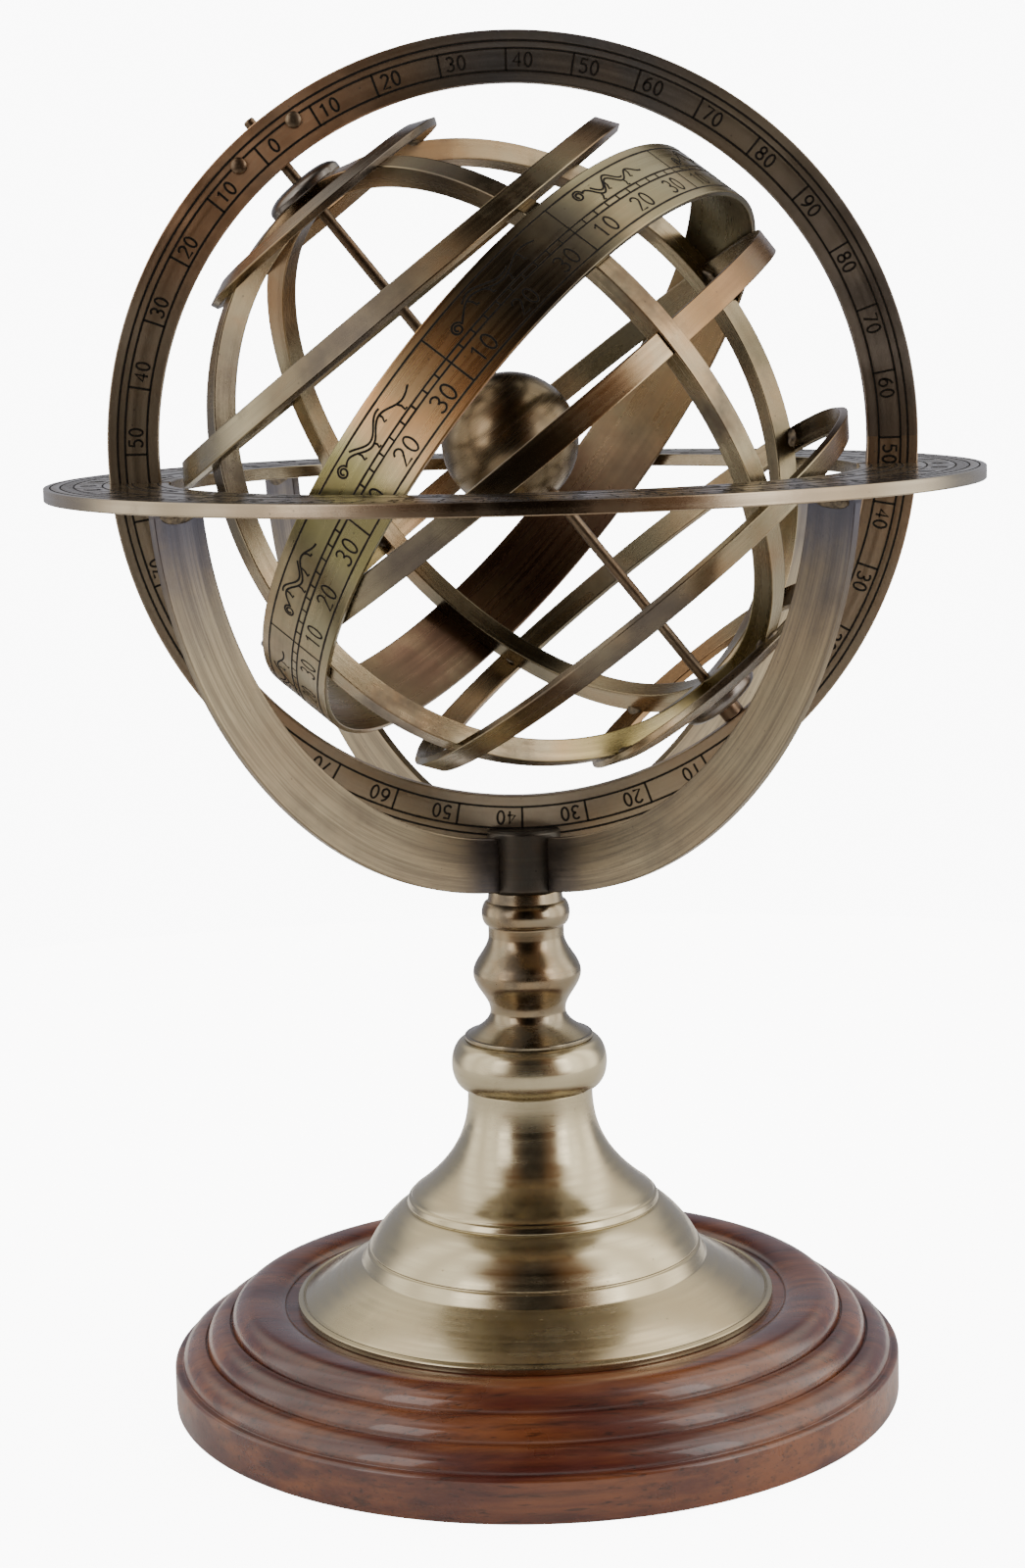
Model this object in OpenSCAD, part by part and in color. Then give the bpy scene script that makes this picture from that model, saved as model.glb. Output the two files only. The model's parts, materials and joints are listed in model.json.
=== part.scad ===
// Armillary sphere on a turned brass pedestal and a moulded wooden base.
// Millimetres, +Z up, origin at the centre of the underside, front towards -Y.
// The meridian ring stands in the XZ plane and carries the tilted axis of the cage.

/* [Wooden base] */
// Radius of the wooden base
base_r = 76.6; // [72:0.2:96]
// Height of the plain edge
base_edge_h = 9.6; // [8:0.2:14]
// Rise of each of the three turned beads
bead_h = 4.1; // [3:0.1:6]
// Set-back of the first bead from the edge
edge_lip = 1.7; // [1:0.1:3]
// Depth of the recess that seats the brass foot
recess_depth = 1.7; // [1:0.1:2.8]
// Gap between the brass foot and the crown of the base
recess_gap = 2.5; // [1.5:0.1:4]
// Thickness of the felt disc
felt_t = 1.2; // [0.8:0.1:3]
// Distance that the felt stands below the wood
felt_stand = 0.4; // [0.2:0.1:0.6]

/* [Pedestal] */
// Radius of the bell-shaped foot
foot_r = 50.3; // [44:0.1:58]
// Height of the bell-shaped foot
foot_h = 45.6; // [38:0.2:56]
// Wall of the bell-shaped foot
foot_wall = 3; // [2:0.1:4]
// Radius of the lower band round the bell
low_band_r = 36.6; // [32:0.1:42]
// Radius of the upper band round the bell
high_band_r = 26.6; // [20:0.1:30]
// Radius at the top of the bell
neck_r = 13.1; // [11:0.1:15]
// Radius of the bead collar
collar_r = 16.3; // [15.5:0.1:20]
// Height of the bead collar
collar_h = 10.4; // [9:0.1:14]
// Height of the turned stem
stem_h = 31.6; // [27:0.2:40]
// Radius of the flange under the stem
flange_r = 13.4; // [11:0.1:16]
// Radius of the knop in the middle of the stem
knop_r = 11.3; // [9.5:0.1:14]
// Radius of the stem's waists
waist_r = 7.9; // [6:0.1:9]
// Diameter of the tie rod
tie_d = 6; // [4:0.5:8]

/* [Cradle] */
// Radius of the slotted head
head_r = 8.1; // [7.5:0.1:11]
// Height of the slotted head
head_h = 13.2; // [11:0.1:18]
// Depth to which the meridian ring sits in the head
slot_depth = 3.6; // [2:0.1:6]
// Width of a cradle arm, measured towards the sphere
arm_w = 11.3; // [8:0.1:12]
// Thickness of a cradle arm
arm_t = 1.8; // [1.2:0.1:3]

/* [Horizon ring] */
// Reach of the horizon ring outside the meridian
horizon_out = 12.9; // [11:0.1:20]
// Reach of the horizon ring inside the meridian
horizon_in = 12.1; // [8:0.1:12.6]
// Thickness of the horizon ring
horizon_t = 2.6; // [1.6:0.1:4]
// Drop of the horizon's top face below the centre
horizon_drop = 5.5; // [3:0.1:8]

/* [Meridian ring] */
// Outer radius of the meridian ring
meridian_r = 82.1; // [70:0.1:99]
// Radial width of the meridian ring
meridian_w = 10.3; // [8:0.1:13]
// Thickness of the meridian ring
meridian_t = 2.6; // [2:0.1:4]
// Side play of the meridian ring in its slots
ring_play = 0.15; // [0.1:0.05:0.4]
// Height of the north pole above the horizon, in degrees
latitude = 52; // [45:1:55]

/* [Axis] */
// Diameter of the axis rod
rod_d = 2.4; // [1.8:0.1:3]
// Length of rod that shows outside the meridian ring
rod_out = 1.5; // [0.5:0.1:3]
// Thickness of the two axis clamps
clamp_t = 1.8; // [1:0.1:2.6]
// Half the length of a clamp, in degrees
clamp_half = 9; // [7:0.5:9.5]
// Angle from the rod to each rivet, in degrees
rivet_step = 5.2; // [4:0.1:6]
// Diameter of a rivet's shank
rivet_d = 2; // [1.4:0.1:2.6]
// Radius of the earth ball
ball_r = 14; // [8:0.5:22]
// Distance of the ball from the centre, to the north
ball_north = 1.2; // [0:0.1:3]

/* [Cage of rings] */
// Gap between the cage and the meridian ring
cage_gap = 5.8; // [5.2:0.1:9]
// Depth of a colure bar, measured towards the centre
colure_w = 4.6; // [4:0.1:6]
// Thickness of a colure bar
colure_t = 4.2; // [3:0.1:5.4]
// Width of the equator, tropic and polar rings
strip_w = 5.2; // [4:0.1:7]
// Thickness of the equator, tropic and polar rings
strip_t = 1.6; // [1:0.1:1.8]
// Depth to which the outer rings are let into the colures
seat = 0.15; // [0.1:0.05:0.3]
// Depth of the equator ring below the colures' outer faces
equator_sink = 0.6; // [0.4:0.1:1]
// Latitude of the two tropic rings, in degrees
tropic_lat = 34.8; // [33.5:0.1:38]
// Latitude of the two polar rings, in degrees
polar_lat = 66.5; // [62:0.5:70]
// Width of the zodiac band
band_w = 16.5; // [12:0.1:17]
// Thickness of the zodiac band
band_t = 1.2; // [0.8:0.1:1.8]
// Tilt of the zodiac band, in degrees
ecliptic = 23.5; // [20:0.5:24]
// Radius of a hub
hub_r = 8.5; // [6:0.1:10]
// Height of a hub above the colures
hub_h = 2.6; // [2:0.1:3.2]
// Distance that the cage hangs to the south of the centre
cage_south = 0.5; // [0:0.1:0.6]
// Resting turn of the cage about its axis, in degrees
cage_turn = -147; // [-180:1:180]
// Radial play of the hubs on the rod
hub_play = 0.08; // [0.02:0.01:0.1]

/* [Hidden] */
$fn = 96;

// Colours of the three finishes
brass = [0.66, 0.60, 0.42];
bronze = [0.36, 0.31, 0.22];
mahogany = [0.43, 0.20, 0.15];

// Bearings of the four cradle arms, in degrees from +X
arm_front_right_turn = 311.5;
arm_front_left_turn = 221.5;
arm_back_left_turn = 126.5;
arm_back_right_turn = 41;

// Heights of the stack
foot_z = base_edge_h + 3 * bead_h - recess_depth;
collar_z = foot_z + foot_h;
stem_z = collar_z + collar_h;
head_z = stem_z + stem_h;
head_top = head_z + head_h;
centre_z = head_top - slot_depth + meridian_r;
horizon_top = centre_z - horizon_drop;
horizon_under = horizon_top - horizon_t;

// Gap under the meridian ring in the slot, and round it in the notches
slot_gap = 0.1;
notch_gap = 0.5;

// Plan of the wooden base: three beads and a rounded crown inside its edge
recess_r = foot_r + recess_gap;
mould_w = base_r - edge_lip - recess_r;
bead_w = 0.24 * mould_w;
crown_w = mould_w - 3 * bead_w;
edge_round = 0.8;
groove_w = 0.5;
groove_d = 0.6;
felt_r = base_r - 5.6;
felt_gap = 0.2;

// Nut, washer and the counterbore that holds them
nut_r = tie_d * 0.97;
nut_t = 5;
washer_r = tie_d * 1.5;
washer_t = 1.5;
counterbore_r = tie_d + 6;
counterbore_top = base_edge_h - 0.6;
washer_z = counterbore_top - washer_t;
nut_z = washer_z - nut_t;
tie_z = nut_z - 0.3;
tie_top = head_z + 4.2;
tie_gap = 0.3;

// Ring radii
meridian_ir = meridian_r - meridian_w;
horizon_r = meridian_r + horizon_out;
horizon_ir = meridian_r - horizon_in;
arm_r = centre_z - head_z;
arm_root_r = head_r - 2.5;
cage_r = meridian_ir - cage_gap;
equator_r = cage_r - equator_sink;
rivet_r = meridian_r - 0.4 * meridian_w;

// Points of a quarter or half ellipse about (r, z), from angle a to angle b
function bow(r, z, rx, rz, a, b, steps = 12) =
    [for (i = [0:steps]) let (t = a + (b - a) * i / steps) [r + rx * cos(t), z + rz * sin(t)]];

// Points from one corner to another, crowned outwards by b halfway
function crowned(p, q, b, steps = 12) =
    let (len = norm(q - p), side = [q.y - p.y, p.x - q.x] / len)
    [for (i = [0:steps]) let (t = i / steps) p + (q - p) * t + side * b * 4 * t * (1 - t)];

// Radius of a swelling that grows from r0 to r1 halfway along and back again
function swell(r0, r1, t) = r0 + (r1 - r0) * pow(sin(180 * t), 2);

// Outer radius of the bead that starts i beads in from the edge
function bead_r(i) = base_r - edge_lip - i * bead_w;

module in_axis() {
    translate([0, 0, centre_z]) rotate([0, latitude - 90, 0]) children();
}

module in_cage() {
    in_axis() translate([0, 0, -cage_south]) rotate([0, 0, cage_turn]) children();
}

// Flat ring about Z
module tube(outer, inner, h) {
    difference() {
        cylinder(r = outer, h = h, center = true);
        cylinder(r = inner, h = h + 1, center = true);
    }
}

// Round bar along Z through a hole or a bore
module bar(r, z0, z1) {
    translate([0, 0, z0]) cylinder(r = r, h = z1 - z0);
}

module wood_base() {
    beads = [for (i = [0:2], p = concat(
        bow(bead_r(i + 1) + groove_w, base_edge_h + i * bead_h, bead_w - groove_w, bead_h, 0, 90),
        i < 2 ? [[bead_r(i + 1) + groove_w / 2, base_edge_h + (i + 1) * bead_h - groove_d]] : []))
        p];
    crown = bow(bead_r(3), foot_z, -crown_w, recess_depth, 90, 0);
    edge = concat(bow(base_r - edge_round, felt_stand + edge_round, edge_round, edge_round, -90, 0, 4),
                  bow(base_r - edge_round, base_edge_h - edge_round, edge_round, edge_round, 0, 90, 4));
    color(mahogany) difference() {
        rotate_extrude() polygon(concat([[0, felt_stand]], edge, beads, crown, [[0, foot_z]]));
        bar(felt_r + felt_gap, felt_stand - 1, felt_t);
        bar(counterbore_r, 0, counterbore_top);
        bar(tie_d / 2 + tie_gap, 0, foot_z + 1);
    }
}

module base_felt() {
    color("darkgreen") bar(felt_r, 0, felt_t);
}

module base_nut() {
    color(brass) difference() {
        translate([0, 0, nut_z]) cylinder(r = nut_r, h = nut_t, $fn = 6);
        bar(tie_d / 2, nut_z - 1, washer_z + 1);
    }
}

module base_washer() {
    color(brass) difference() {
        bar(washer_r, washer_z, counterbore_top);
        bar(tie_d / 2 + tie_gap, washer_z - 1, counterbore_top + 1);
    }
}

module tie_rod() {
    color("silver") bar(tie_d / 2, tie_z, tie_top);
}

module bell_foot() {
    rim_h = 1.4;
    neck_foot_r = high_band_r - 1.2;
    neck_steps = 16;
    shoulder_r = high_band_r + 0.4;
    low_z = foot_z + 0.19 * foot_h;
    shoulder_z = foot_z + 0.262 * foot_h;
    shoulder_h = 0.19 * foot_h;
    high_z = shoulder_z + shoulder_h;
    neck_z = foot_z + 0.507 * foot_h;
    neck = [for (i = [0:neck_steps]) let (t = 1 - i / neck_steps)
        [neck_r + (neck_foot_r - neck_r) * pow(t, 2.5), collar_z - t * (collar_z - neck_z)]];
    outside = concat(
        [[foot_r, foot_z], [foot_r, foot_z + rim_h], [foot_r - 1.1, foot_z + rim_h + 0.5],
         [foot_r - 1.4, foot_z + rim_h + 0.1], [foot_r - 1.8, foot_z + rim_h + 0.6],
         [low_band_r + 0.5, low_z - 0.3], [low_band_r - 0.1, low_z], [low_band_r - 1.4, shoulder_z - 0.6],
         [low_band_r - 1.9, shoulder_z - 0.4]],
        crowned([low_band_r - 1.8, shoulder_z], [shoulder_r, high_z], 0.7),
        [[high_band_r - 0.3, high_z + 0.2], [high_band_r, high_z + 0.5], [high_band_r - 0.4, neck_z - 0.8],
         [high_band_r - 0.9, neck_z - 0.5]],
        neck);
    hollow = [[0, foot_z - 1], [foot_r - 2 * foot_wall, foot_z - 1],
              [foot_r - 2 * foot_wall, foot_z], [low_band_r - 1.5 * foot_wall, low_z - foot_wall / 2],
              [shoulder_r - foot_wall / 2, high_z - foot_wall], [neck_r - foot_wall, neck_z + foot_wall],
              [0, neck_z + foot_wall]];
    color(brass) difference() {
        rotate_extrude() polygon(concat([[0, foot_z]], outside, [[0, collar_z]]));
        rotate_extrude() polygon(hollow);
        bar(tie_d / 2 + tie_gap, foot_z, collar_z + 1);
    }
}

module collar() {
    end_r = neck_r + 0.2;
    bulge = bow(end_r, collar_z + collar_h / 2, collar_r - end_r, collar_h / 2, -90, 90, 16);
    color(brass) difference() {
        rotate_extrude() polygon(concat([[0, collar_z]], bulge, [[0, stem_z]]));
        bar(tie_d / 2 + tie_gap, collar_z - 1, stem_z + 1);
    }
}

module stem() {
    flange_t = 0.9;
    flare_z = stem_z + 0.19 * stem_h;
    knop_h = 0.506 * stem_h;
    ring_z = stem_z + 0.763 * stem_h;
    ring_h = 0.164 * stem_h;
    flare_steps = 8;
    flare = [for (i = [0:flare_steps]) let (t = 1 - i / flare_steps)
        [waist_r + (flange_r - 0.5 - waist_r) * t * t,
         flare_z - t * (flare_z - stem_z - flange_t)]];
    knop = [for (i = [1:20]) [swell(waist_r, knop_r, i / 20), flare_z + knop_h * i / 20]];
    ring = bow(waist_r, ring_z + ring_h / 2, 1.3, ring_h / 2, -90, 90);
    color(brass) difference() {
        rotate_extrude() polygon(concat([[0, stem_z], [flange_r, stem_z], [flange_r, stem_z + flange_t]],
                                        flare, knop, ring, [[waist_r - 0.3, head_z], [0, head_z]]));
        bar(tie_d / 2 + tie_gap, stem_z - 1, head_z + 1);
    }
}

// Flat quarter ring from the head up to the underside of the horizon ring
module arm(turn) {
    reach = horizon_under - centre_z;
    translate([0, 0, centre_z]) rotate([0, 0, turn]) rotate([90, 0, 0])
        linear_extrude(height = arm_t, center = true) difference() {
            intersection() {
                circle(r = arm_r);
                translate([arm_root_r, -2 * arm_r]) square([2 * arm_r, 2 * arm_r + reach]);
            }
            circle(r = arm_r - arm_w);
        }
}

module arm_front_right() {
    color(brass) arm(arm_front_right_turn);
}

module arm_front_left() {
    color(brass) arm(arm_front_left_turn);
}

module arm_back_left() {
    color(brass) arm(arm_back_left_turn);
}

module arm_back_right() {
    color(brass) arm(arm_back_right_turn);
}

// Flat ring that stands in the XZ plane between y0 and y1
module upright_ring(outer, inner, y0, y1) {
    translate([0, (y0 + y1) / 2, centre_z]) rotate([90, 0, 0]) tube(outer, inner, y1 - y0);
}

// Room that the meridian ring needs when it turns, out to radius r
module meridian_slot(r) {
    translate([0, ring_play, centre_z]) rotate([90, 0, 0])
        cylinder(r = r, h = meridian_t + 2 * ring_play);
}

module cradle_head() {
    edge = 0.6;
    color(brass) difference() {
        rotate_extrude() polygon([[0, head_z], [head_r - edge, head_z], [head_r, head_z + edge],
                                  [head_r, head_top - edge], [head_r - edge, head_top], [0, head_top]]);
        bar(tie_d / 2, head_z - 1, tie_top);
        for (turn = [arm_front_right_turn, arm_front_left_turn, arm_back_left_turn, arm_back_right_turn])
            arm(turn);
        meridian_slot(meridian_r + slot_gap);
    }
}

module horizon_ring() {
    color(brass) difference() {
        translate([0, 0, horizon_top - horizon_t / 2]) tube(horizon_r, horizon_ir, horizon_t);
        meridian_slot(meridian_r + notch_gap);
    }
}

module rod(r) {
    in_axis() cylinder(r = r, h = 2 * (meridian_r + rod_out), center = true);
}

// Places its children at each rivet of the pole whose sign is given
module at_rivets(pole) {
    for (side = [-1, 1])
        in_axis() rotate([0, side * rivet_step, 0]) translate([0, 0, pole * rivet_r])
            rotate([90, 0, 0]) children();
}

module rivet_holes(pole) {
    at_rivets(pole) cylinder(r = rivet_d / 2, h = 4 * meridian_t, center = true);
}

module meridian_ring() {
    color(bronze) difference() {
        upright_ring(meridian_r, meridian_ir, -meridian_t, 0);
        rod(rod_d / 2);
        rivet_holes(1);
        rivet_holes(-1);
    }
}

module axis_rod() {
    color(brass) rod(rod_d / 2);
}

// Curved plate behind the meridian ring that holds one end of the rod
module clamp(pole) {
    margin = 0.8;
    reach = 2 * meridian_r;
    sector = [[0, 0], [reach * sin(clamp_half), pole * reach * cos(clamp_half)],
              [-reach * sin(clamp_half), pole * reach * cos(clamp_half)]];
    difference() {
        in_axis() rotate([90, 0, 0]) translate([0, 0, -clamp_t])
            linear_extrude(height = clamp_t) intersection() {
                difference() {
                    circle(r = meridian_r - margin);
                    circle(r = meridian_ir + margin);
                }
                polygon(sector);
            }
        rod(rod_d / 2);
        rivet_holes(pole);
    }
}

module axis_clamp_north() {
    color(bronze) clamp(1);
}

module axis_clamp_south() {
    color(bronze) clamp(-1);
}

module axis_rivets() {
    dome_r = 0.85 * rivet_d;
    dome_h = 0.4 * rivet_d;
    color(brass) for (pole = [-1, 1]) at_rivets(pole) rotate_extrude()
        polygon(concat([[0, -clamp_t - dome_h]], bow(0, -clamp_t, dome_r, dome_h, -90, 0, 6),
                       [[rivet_d / 2, -clamp_t], [rivet_d / 2, meridian_t]],
                       bow(0, meridian_t, dome_r, dome_h, 0, 90, 6)));
}

module earth_ball() {
    color(bronze) difference() {
        in_axis() translate([0, 0, ball_north]) sphere(r = ball_r);
        rod(rod_d / 2);
    }
}

// Short sleeve on the rod that the cage's lower hub runs on
module thrust_collar() {
    top = -(cage_r + hub_h + cage_south + 0.05);
    foot = -(meridian_ir - 0.1);
    color(brass) difference() {
        in_axis() bar(rod_d, foot, top);
        rod(rod_d / 2);
    }
}

// Square bar bent to a ring that stands in the local XZ plane
module colure_blank() {
    rotate([90, 0, 0]) tube(cage_r, cage_r - colure_w, colure_t);
}

// Ring bent from strip that lies flat on the cage at a latitude
module latitude_ring(lat) {
    inner = cage_r - seat;
    out = [cos(lat), sin(lat)];
    along = [-sin(lat), cos(lat)];
    rotate_extrude() polygon([for (c = [[0, -1], [1, -1], [1, 1], [0, 1]])
        (inner + c[0] * strip_t) * out + c[1] * strip_w / 2 * along]);
}

module band_blank() {
    rotate([ecliptic, 0, 0]) tube(cage_r - seat + band_t, cage_r - seat, band_w);
}

// Rings that are let into the colures, and the hole for the rod
module colure_cuts() {
    tube(cage_r + 1, equator_r - strip_t, strip_w);
    band_blank();
    for (lat = [tropic_lat, -tropic_lat, polar_lat, -polar_lat]) latitude_ring(lat);
    cylinder(r = rod_d / 2 + 0.3, h = 3 * cage_r, center = true);
}

module colure_equinox() {
    color(brass) in_cage() difference() {
        colure_blank();
        colure_cuts();
        for (pole = [-1, 1]) translate([0, 0, pole * cage_r])
            cube([colure_t, 2 * colure_t, colure_w], center = true);
    }
}

module colure_solstice() {
    color(brass) in_cage() difference() {
        rotate([0, 0, 90]) colure_blank();
        colure_cuts();
        for (pole = [-1, 1]) translate([0, 0, pole * (cage_r - colure_w)])
            cube([2 * colure_t, colure_t, colure_w], center = true);
    }
}

// Domed washer on the crossing of the colures, bored to run on the rod
module hub(pole) {
    skirt = 0.6;
    rim_h = 1;
    top_r = 3.2;
    in_cage() difference() {
        rotate([pole > 0 ? 0 : 180, 0, 0]) rotate_extrude()
            polygon(concat([[0, cage_r - skirt], [hub_r, cage_r - skirt]],
                           bow(top_r, cage_r + rim_h - 0.6, hub_r - top_r, hub_h - rim_h + 0.6, 0, 90),
                           [[0, cage_r + hub_h]]));
        cylinder(r = rod_d / 2 + hub_play, h = 3 * cage_r, center = true);
        rotate([90, 0, 0]) cylinder(r = cage_r, h = colure_t, center = true);
        rotate([0, 90, 0]) cylinder(r = cage_r, h = colure_t, center = true);
    }
}

module hub_north() {
    color(brass) hub(1);
}

module hub_south() {
    color(brass) hub(-1);
}

module equator_ring() {
    color(brass) in_cage() tube(equator_r, equator_r - strip_t, strip_w);
}

module cancer_ring() {
    color(brass) in_cage() latitude_ring(tropic_lat);
}

module capricorn_ring() {
    color(brass) in_cage() latitude_ring(-tropic_lat);
}

module arctic_ring() {
    color(brass) in_cage() latitude_ring(polar_lat);
}

module antarctic_ring() {
    color(brass) in_cage() latitude_ring(-polar_lat);
}

module zodiac_band() {
    color(bronze) in_cage() band_blank();
}

wood_base();
base_felt();
base_nut();
base_washer();
tie_rod();
bell_foot();
collar();
stem();
cradle_head();
arm_front_right();
arm_front_left();
arm_back_left();
arm_back_right();
horizon_ring();
meridian_ring();
axis_rod();
axis_clamp_north();
axis_clamp_south();
axis_rivets();
earth_ball();
thrust_collar();
hub_north();
hub_south();
colure_equinox();
colure_solstice();
equator_ring();
cancer_ring();
capricorn_ring();
arctic_ring();
antarctic_ring();
zodiac_band();
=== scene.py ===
import json
import logging
import math
from dataclasses import dataclass
from enum import Enum
from typing import Callable, Sequence

import bpy
import numpy as np
from mathutils import Matrix, Vector


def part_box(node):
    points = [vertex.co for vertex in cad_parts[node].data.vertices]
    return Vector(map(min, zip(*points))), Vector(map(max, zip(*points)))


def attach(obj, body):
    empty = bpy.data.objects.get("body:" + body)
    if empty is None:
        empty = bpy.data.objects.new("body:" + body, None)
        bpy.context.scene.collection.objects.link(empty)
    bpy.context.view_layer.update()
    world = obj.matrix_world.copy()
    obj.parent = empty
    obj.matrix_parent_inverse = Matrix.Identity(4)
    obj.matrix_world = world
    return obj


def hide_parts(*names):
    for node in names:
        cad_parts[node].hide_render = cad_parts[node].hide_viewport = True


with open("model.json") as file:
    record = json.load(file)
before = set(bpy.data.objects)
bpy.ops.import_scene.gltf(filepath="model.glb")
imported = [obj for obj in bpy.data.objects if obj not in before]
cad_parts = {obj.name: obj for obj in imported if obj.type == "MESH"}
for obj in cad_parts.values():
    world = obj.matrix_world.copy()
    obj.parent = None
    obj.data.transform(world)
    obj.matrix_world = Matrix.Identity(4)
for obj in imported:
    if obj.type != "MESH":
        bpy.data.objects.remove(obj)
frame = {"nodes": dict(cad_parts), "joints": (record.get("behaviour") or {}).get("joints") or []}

LOG = logging.getLogger("armillary")
MM = 0.001
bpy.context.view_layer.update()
JOINTS = {joint["name"]: joint for joint in frame["joints"]}
CENTRE_Z = JOINTS["cage_spin"]["pos_m"][2]
POLE = Vector(JOINTS["cage_spin"]["axis"]).normalized()


class Body(str, Enum):
    """The three rigid bodies that the pieces ride on."""

    STAND = "stand"
    MERIDIAN = "meridian"
    CAGE = "cage"


# ---------------------------------------------------------------- meshes


def frame_matrix(origin: Sequence[float], z_axis: Vector, x_axis: Vector) -> np.ndarray:
    """Returns the 4 by 4 matrix of a local frame with its origin, Z axis and X axis given."""
    z = Vector(z_axis).normalized()
    x = (Vector(x_axis) - z * Vector(x_axis).dot(z)).normalized()
    y = z.cross(x)
    out = np.eye(4)
    out[:3, 0], out[:3, 1], out[:3, 2], out[:3, 3] = x, y, z, origin
    return out


def place(points: np.ndarray, matrix: np.ndarray) -> np.ndarray:
    """Returns points, an array ending in 3, moved by a 4 by 4 matrix."""
    return points @ matrix[:3, :3].T + matrix[:3, 3]


def new_piece(name: str, verts: np.ndarray, faces: list, uvs: np.ndarray | None = None,
              smooth: bool = True) -> bpy.types.Object:
    """Makes an object from arrays, with its faces turned outwards.

    Args:
        name: the object's name.
        verts: corner positions, n by 3, in metres.
        faces: lists of corner numbers.
        uvs: one pair for each corner of each face, in the faces' order.
        smooth: whether the faces are shaded smooth.

    Returns:
        The new object, at the origin.
    """
    if signed_volume(verts, faces) < 0:
        faces = [face[::-1] for face in faces]
        if uvs is not None:
            sizes = np.array([len(face) for face in faces])
            ends = np.cumsum(sizes)
            order = np.repeat(ends - 1, sizes) - (np.arange(sizes.sum()) - np.repeat(ends - sizes, sizes))
            uvs = uvs[order]
    mesh = bpy.data.meshes.new(name)
    mesh.from_pydata(verts.tolist(), [], faces)
    if uvs is not None:
        layer = mesh.uv_layers.new(name="UVMap")
        layer.data.foreach_set("uv", uvs.astype(np.float32).ravel())
    mesh.polygons.foreach_set("use_smooth", np.full(len(faces), smooth))
    mesh.update()
    piece = bpy.data.objects.new(name, mesh)
    bpy.context.scene.collection.objects.link(piece)
    return piece


def signed_volume(verts: np.ndarray, faces: list) -> float:
    """Returns six times the volume inside the faces: the sum of each fan triangle's triple product."""
    quads = np.array([face[:4] if len(face) > 3 else [*face, face[-1]] for face in faces])
    a, b, c, d = (verts[quads[:, i]] for i in range(4))
    return float(np.einsum("ij,ij->", a, np.cross(b, c)) + np.einsum("ij,ij->", a, np.cross(c, d)))


def grid_piece(name: str, points: np.ndarray, wrap_u: bool, length: float) -> bpy.types.Object:
    """Makes a tube-like piece from a grid whose second direction is a closed loop.

    Args:
        name: the object's name.
        points: nu by nv by 3 array; row i is one closed cross-section.
        wrap_u: whether the last cross-section joins the first. If not, both ends are capped.
        length: length of the whole surface along its first direction, in metres.

    Returns:
        The new object, with a UV map in metres: U runs along the piece and V round its section.
    """
    nu, nv = points.shape[:2]
    rows = nu if wrap_u else nu - 1
    i, j = (a.ravel() for a in np.meshgrid(np.arange(rows), np.arange(nv), indexing="ij"))
    ring = np.stack([i, i + 1, i + 1, i], 1)
    loop = np.stack([j, j, j + 1, j + 1], 1)
    faces = ((ring % nu) * nv + loop % nv).tolist()
    edges = np.linalg.norm(np.roll(points[0], -1, 0) - points[0], axis=1)
    round_section = np.concatenate([[0.0], np.cumsum(edges)])
    uvs = np.stack([ring / rows * length, round_section[loop]], -1).reshape(-1, 2)
    if not wrap_u:
        faces += [list(range(nv))[::-1], list(range((nu - 1) * nv, nu * nv))]
        uvs = np.concatenate([uvs, np.zeros((2 * nv, 2))])
    return new_piece(name, points.reshape(-1, 3), faces, uvs)


def crisp(points: Sequence[Sequence[float]], cut: float = 0.12 * MM, guard: float = 0.3 * MM,
          least: float = 25) -> np.ndarray:
    """Breaks each sharp corner of a closed outline with a narrow facet.

    A corner that turns by more than `least` degrees becomes four points: two at the distance
    `cut` from it, and two more at `guard`, which keep the shading of the flats beside it flat.
    """
    here = np.asarray(points, float)
    before, after = np.roll(here, 1, 0) - here, np.roll(here, -1, 0) - here
    reach_b, reach_a = np.linalg.norm(before, axis=1), np.linalg.norm(after, axis=1)
    before, after = before / reach_b[:, None], after / reach_a[:, None]
    turn = 180 - np.degrees(np.arccos(np.clip((before * after).sum(1), -1, 1)))
    out = []
    for k in range(len(here)):
        if turn[k] < least:
            out.append(here[k])
            continue
        near = min(cut, 0.2 * reach_b[k], 0.2 * reach_a[k])
        far_b, far_a = min(guard, 0.4 * reach_b[k]), min(guard, 0.4 * reach_a[k])
        out += [here[k] + before[k] * far_b, here[k] + before[k] * near,
                here[k] + after[k] * near, here[k] + after[k] * far_a]
    return np.array(out)


def bow(r: float, z: float, rx: float, rz: float, start: float, end: float, steps: int = 14) -> list:
    """Returns points of an ellipse about (r, z), from the angle start to the angle end in degrees."""
    t = np.radians(np.linspace(start, end, steps + 1))
    return np.stack([r + rx * np.cos(t), z + rz * np.sin(t)], 1).tolist()


def crowned(start: Sequence[float], end: Sequence[float], crown: float, steps: int = 16) -> list:
    """Returns points from one corner to another, pushed out to the right by 4 crown t (1 - t)."""
    first, last = np.array(start), np.array(end)
    way = (last - first) / np.linalg.norm(last - first)
    t = np.linspace(0, 1, steps + 1)[:, None]
    return (first + (last - first) * t + np.array([way[1], -way[0]]) * 4 * crown * t * (1 - t)).tolist()


def lathe(name: str, outline: Sequence[Sequence[float]], matrix: np.ndarray | None = None,
          segments: int = 192) -> bpy.types.Object:
    """Turns a closed outline of (radius, height) about the local Z axis of matrix."""
    ring = crisp(outline)
    angle = np.linspace(0, 2 * np.pi, segments, endpoint=False)[:, None]
    points = np.stack([ring[:, 0] * np.cos(angle), ring[:, 0] * np.sin(angle),
                       np.broadcast_to(ring[:, 1], (segments, len(ring)))], -1)
    girth = 2 * np.pi * ring[:, 0].max()
    return grid_piece(name, place(points, np.eye(4) if matrix is None else matrix), True, girth)


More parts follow.
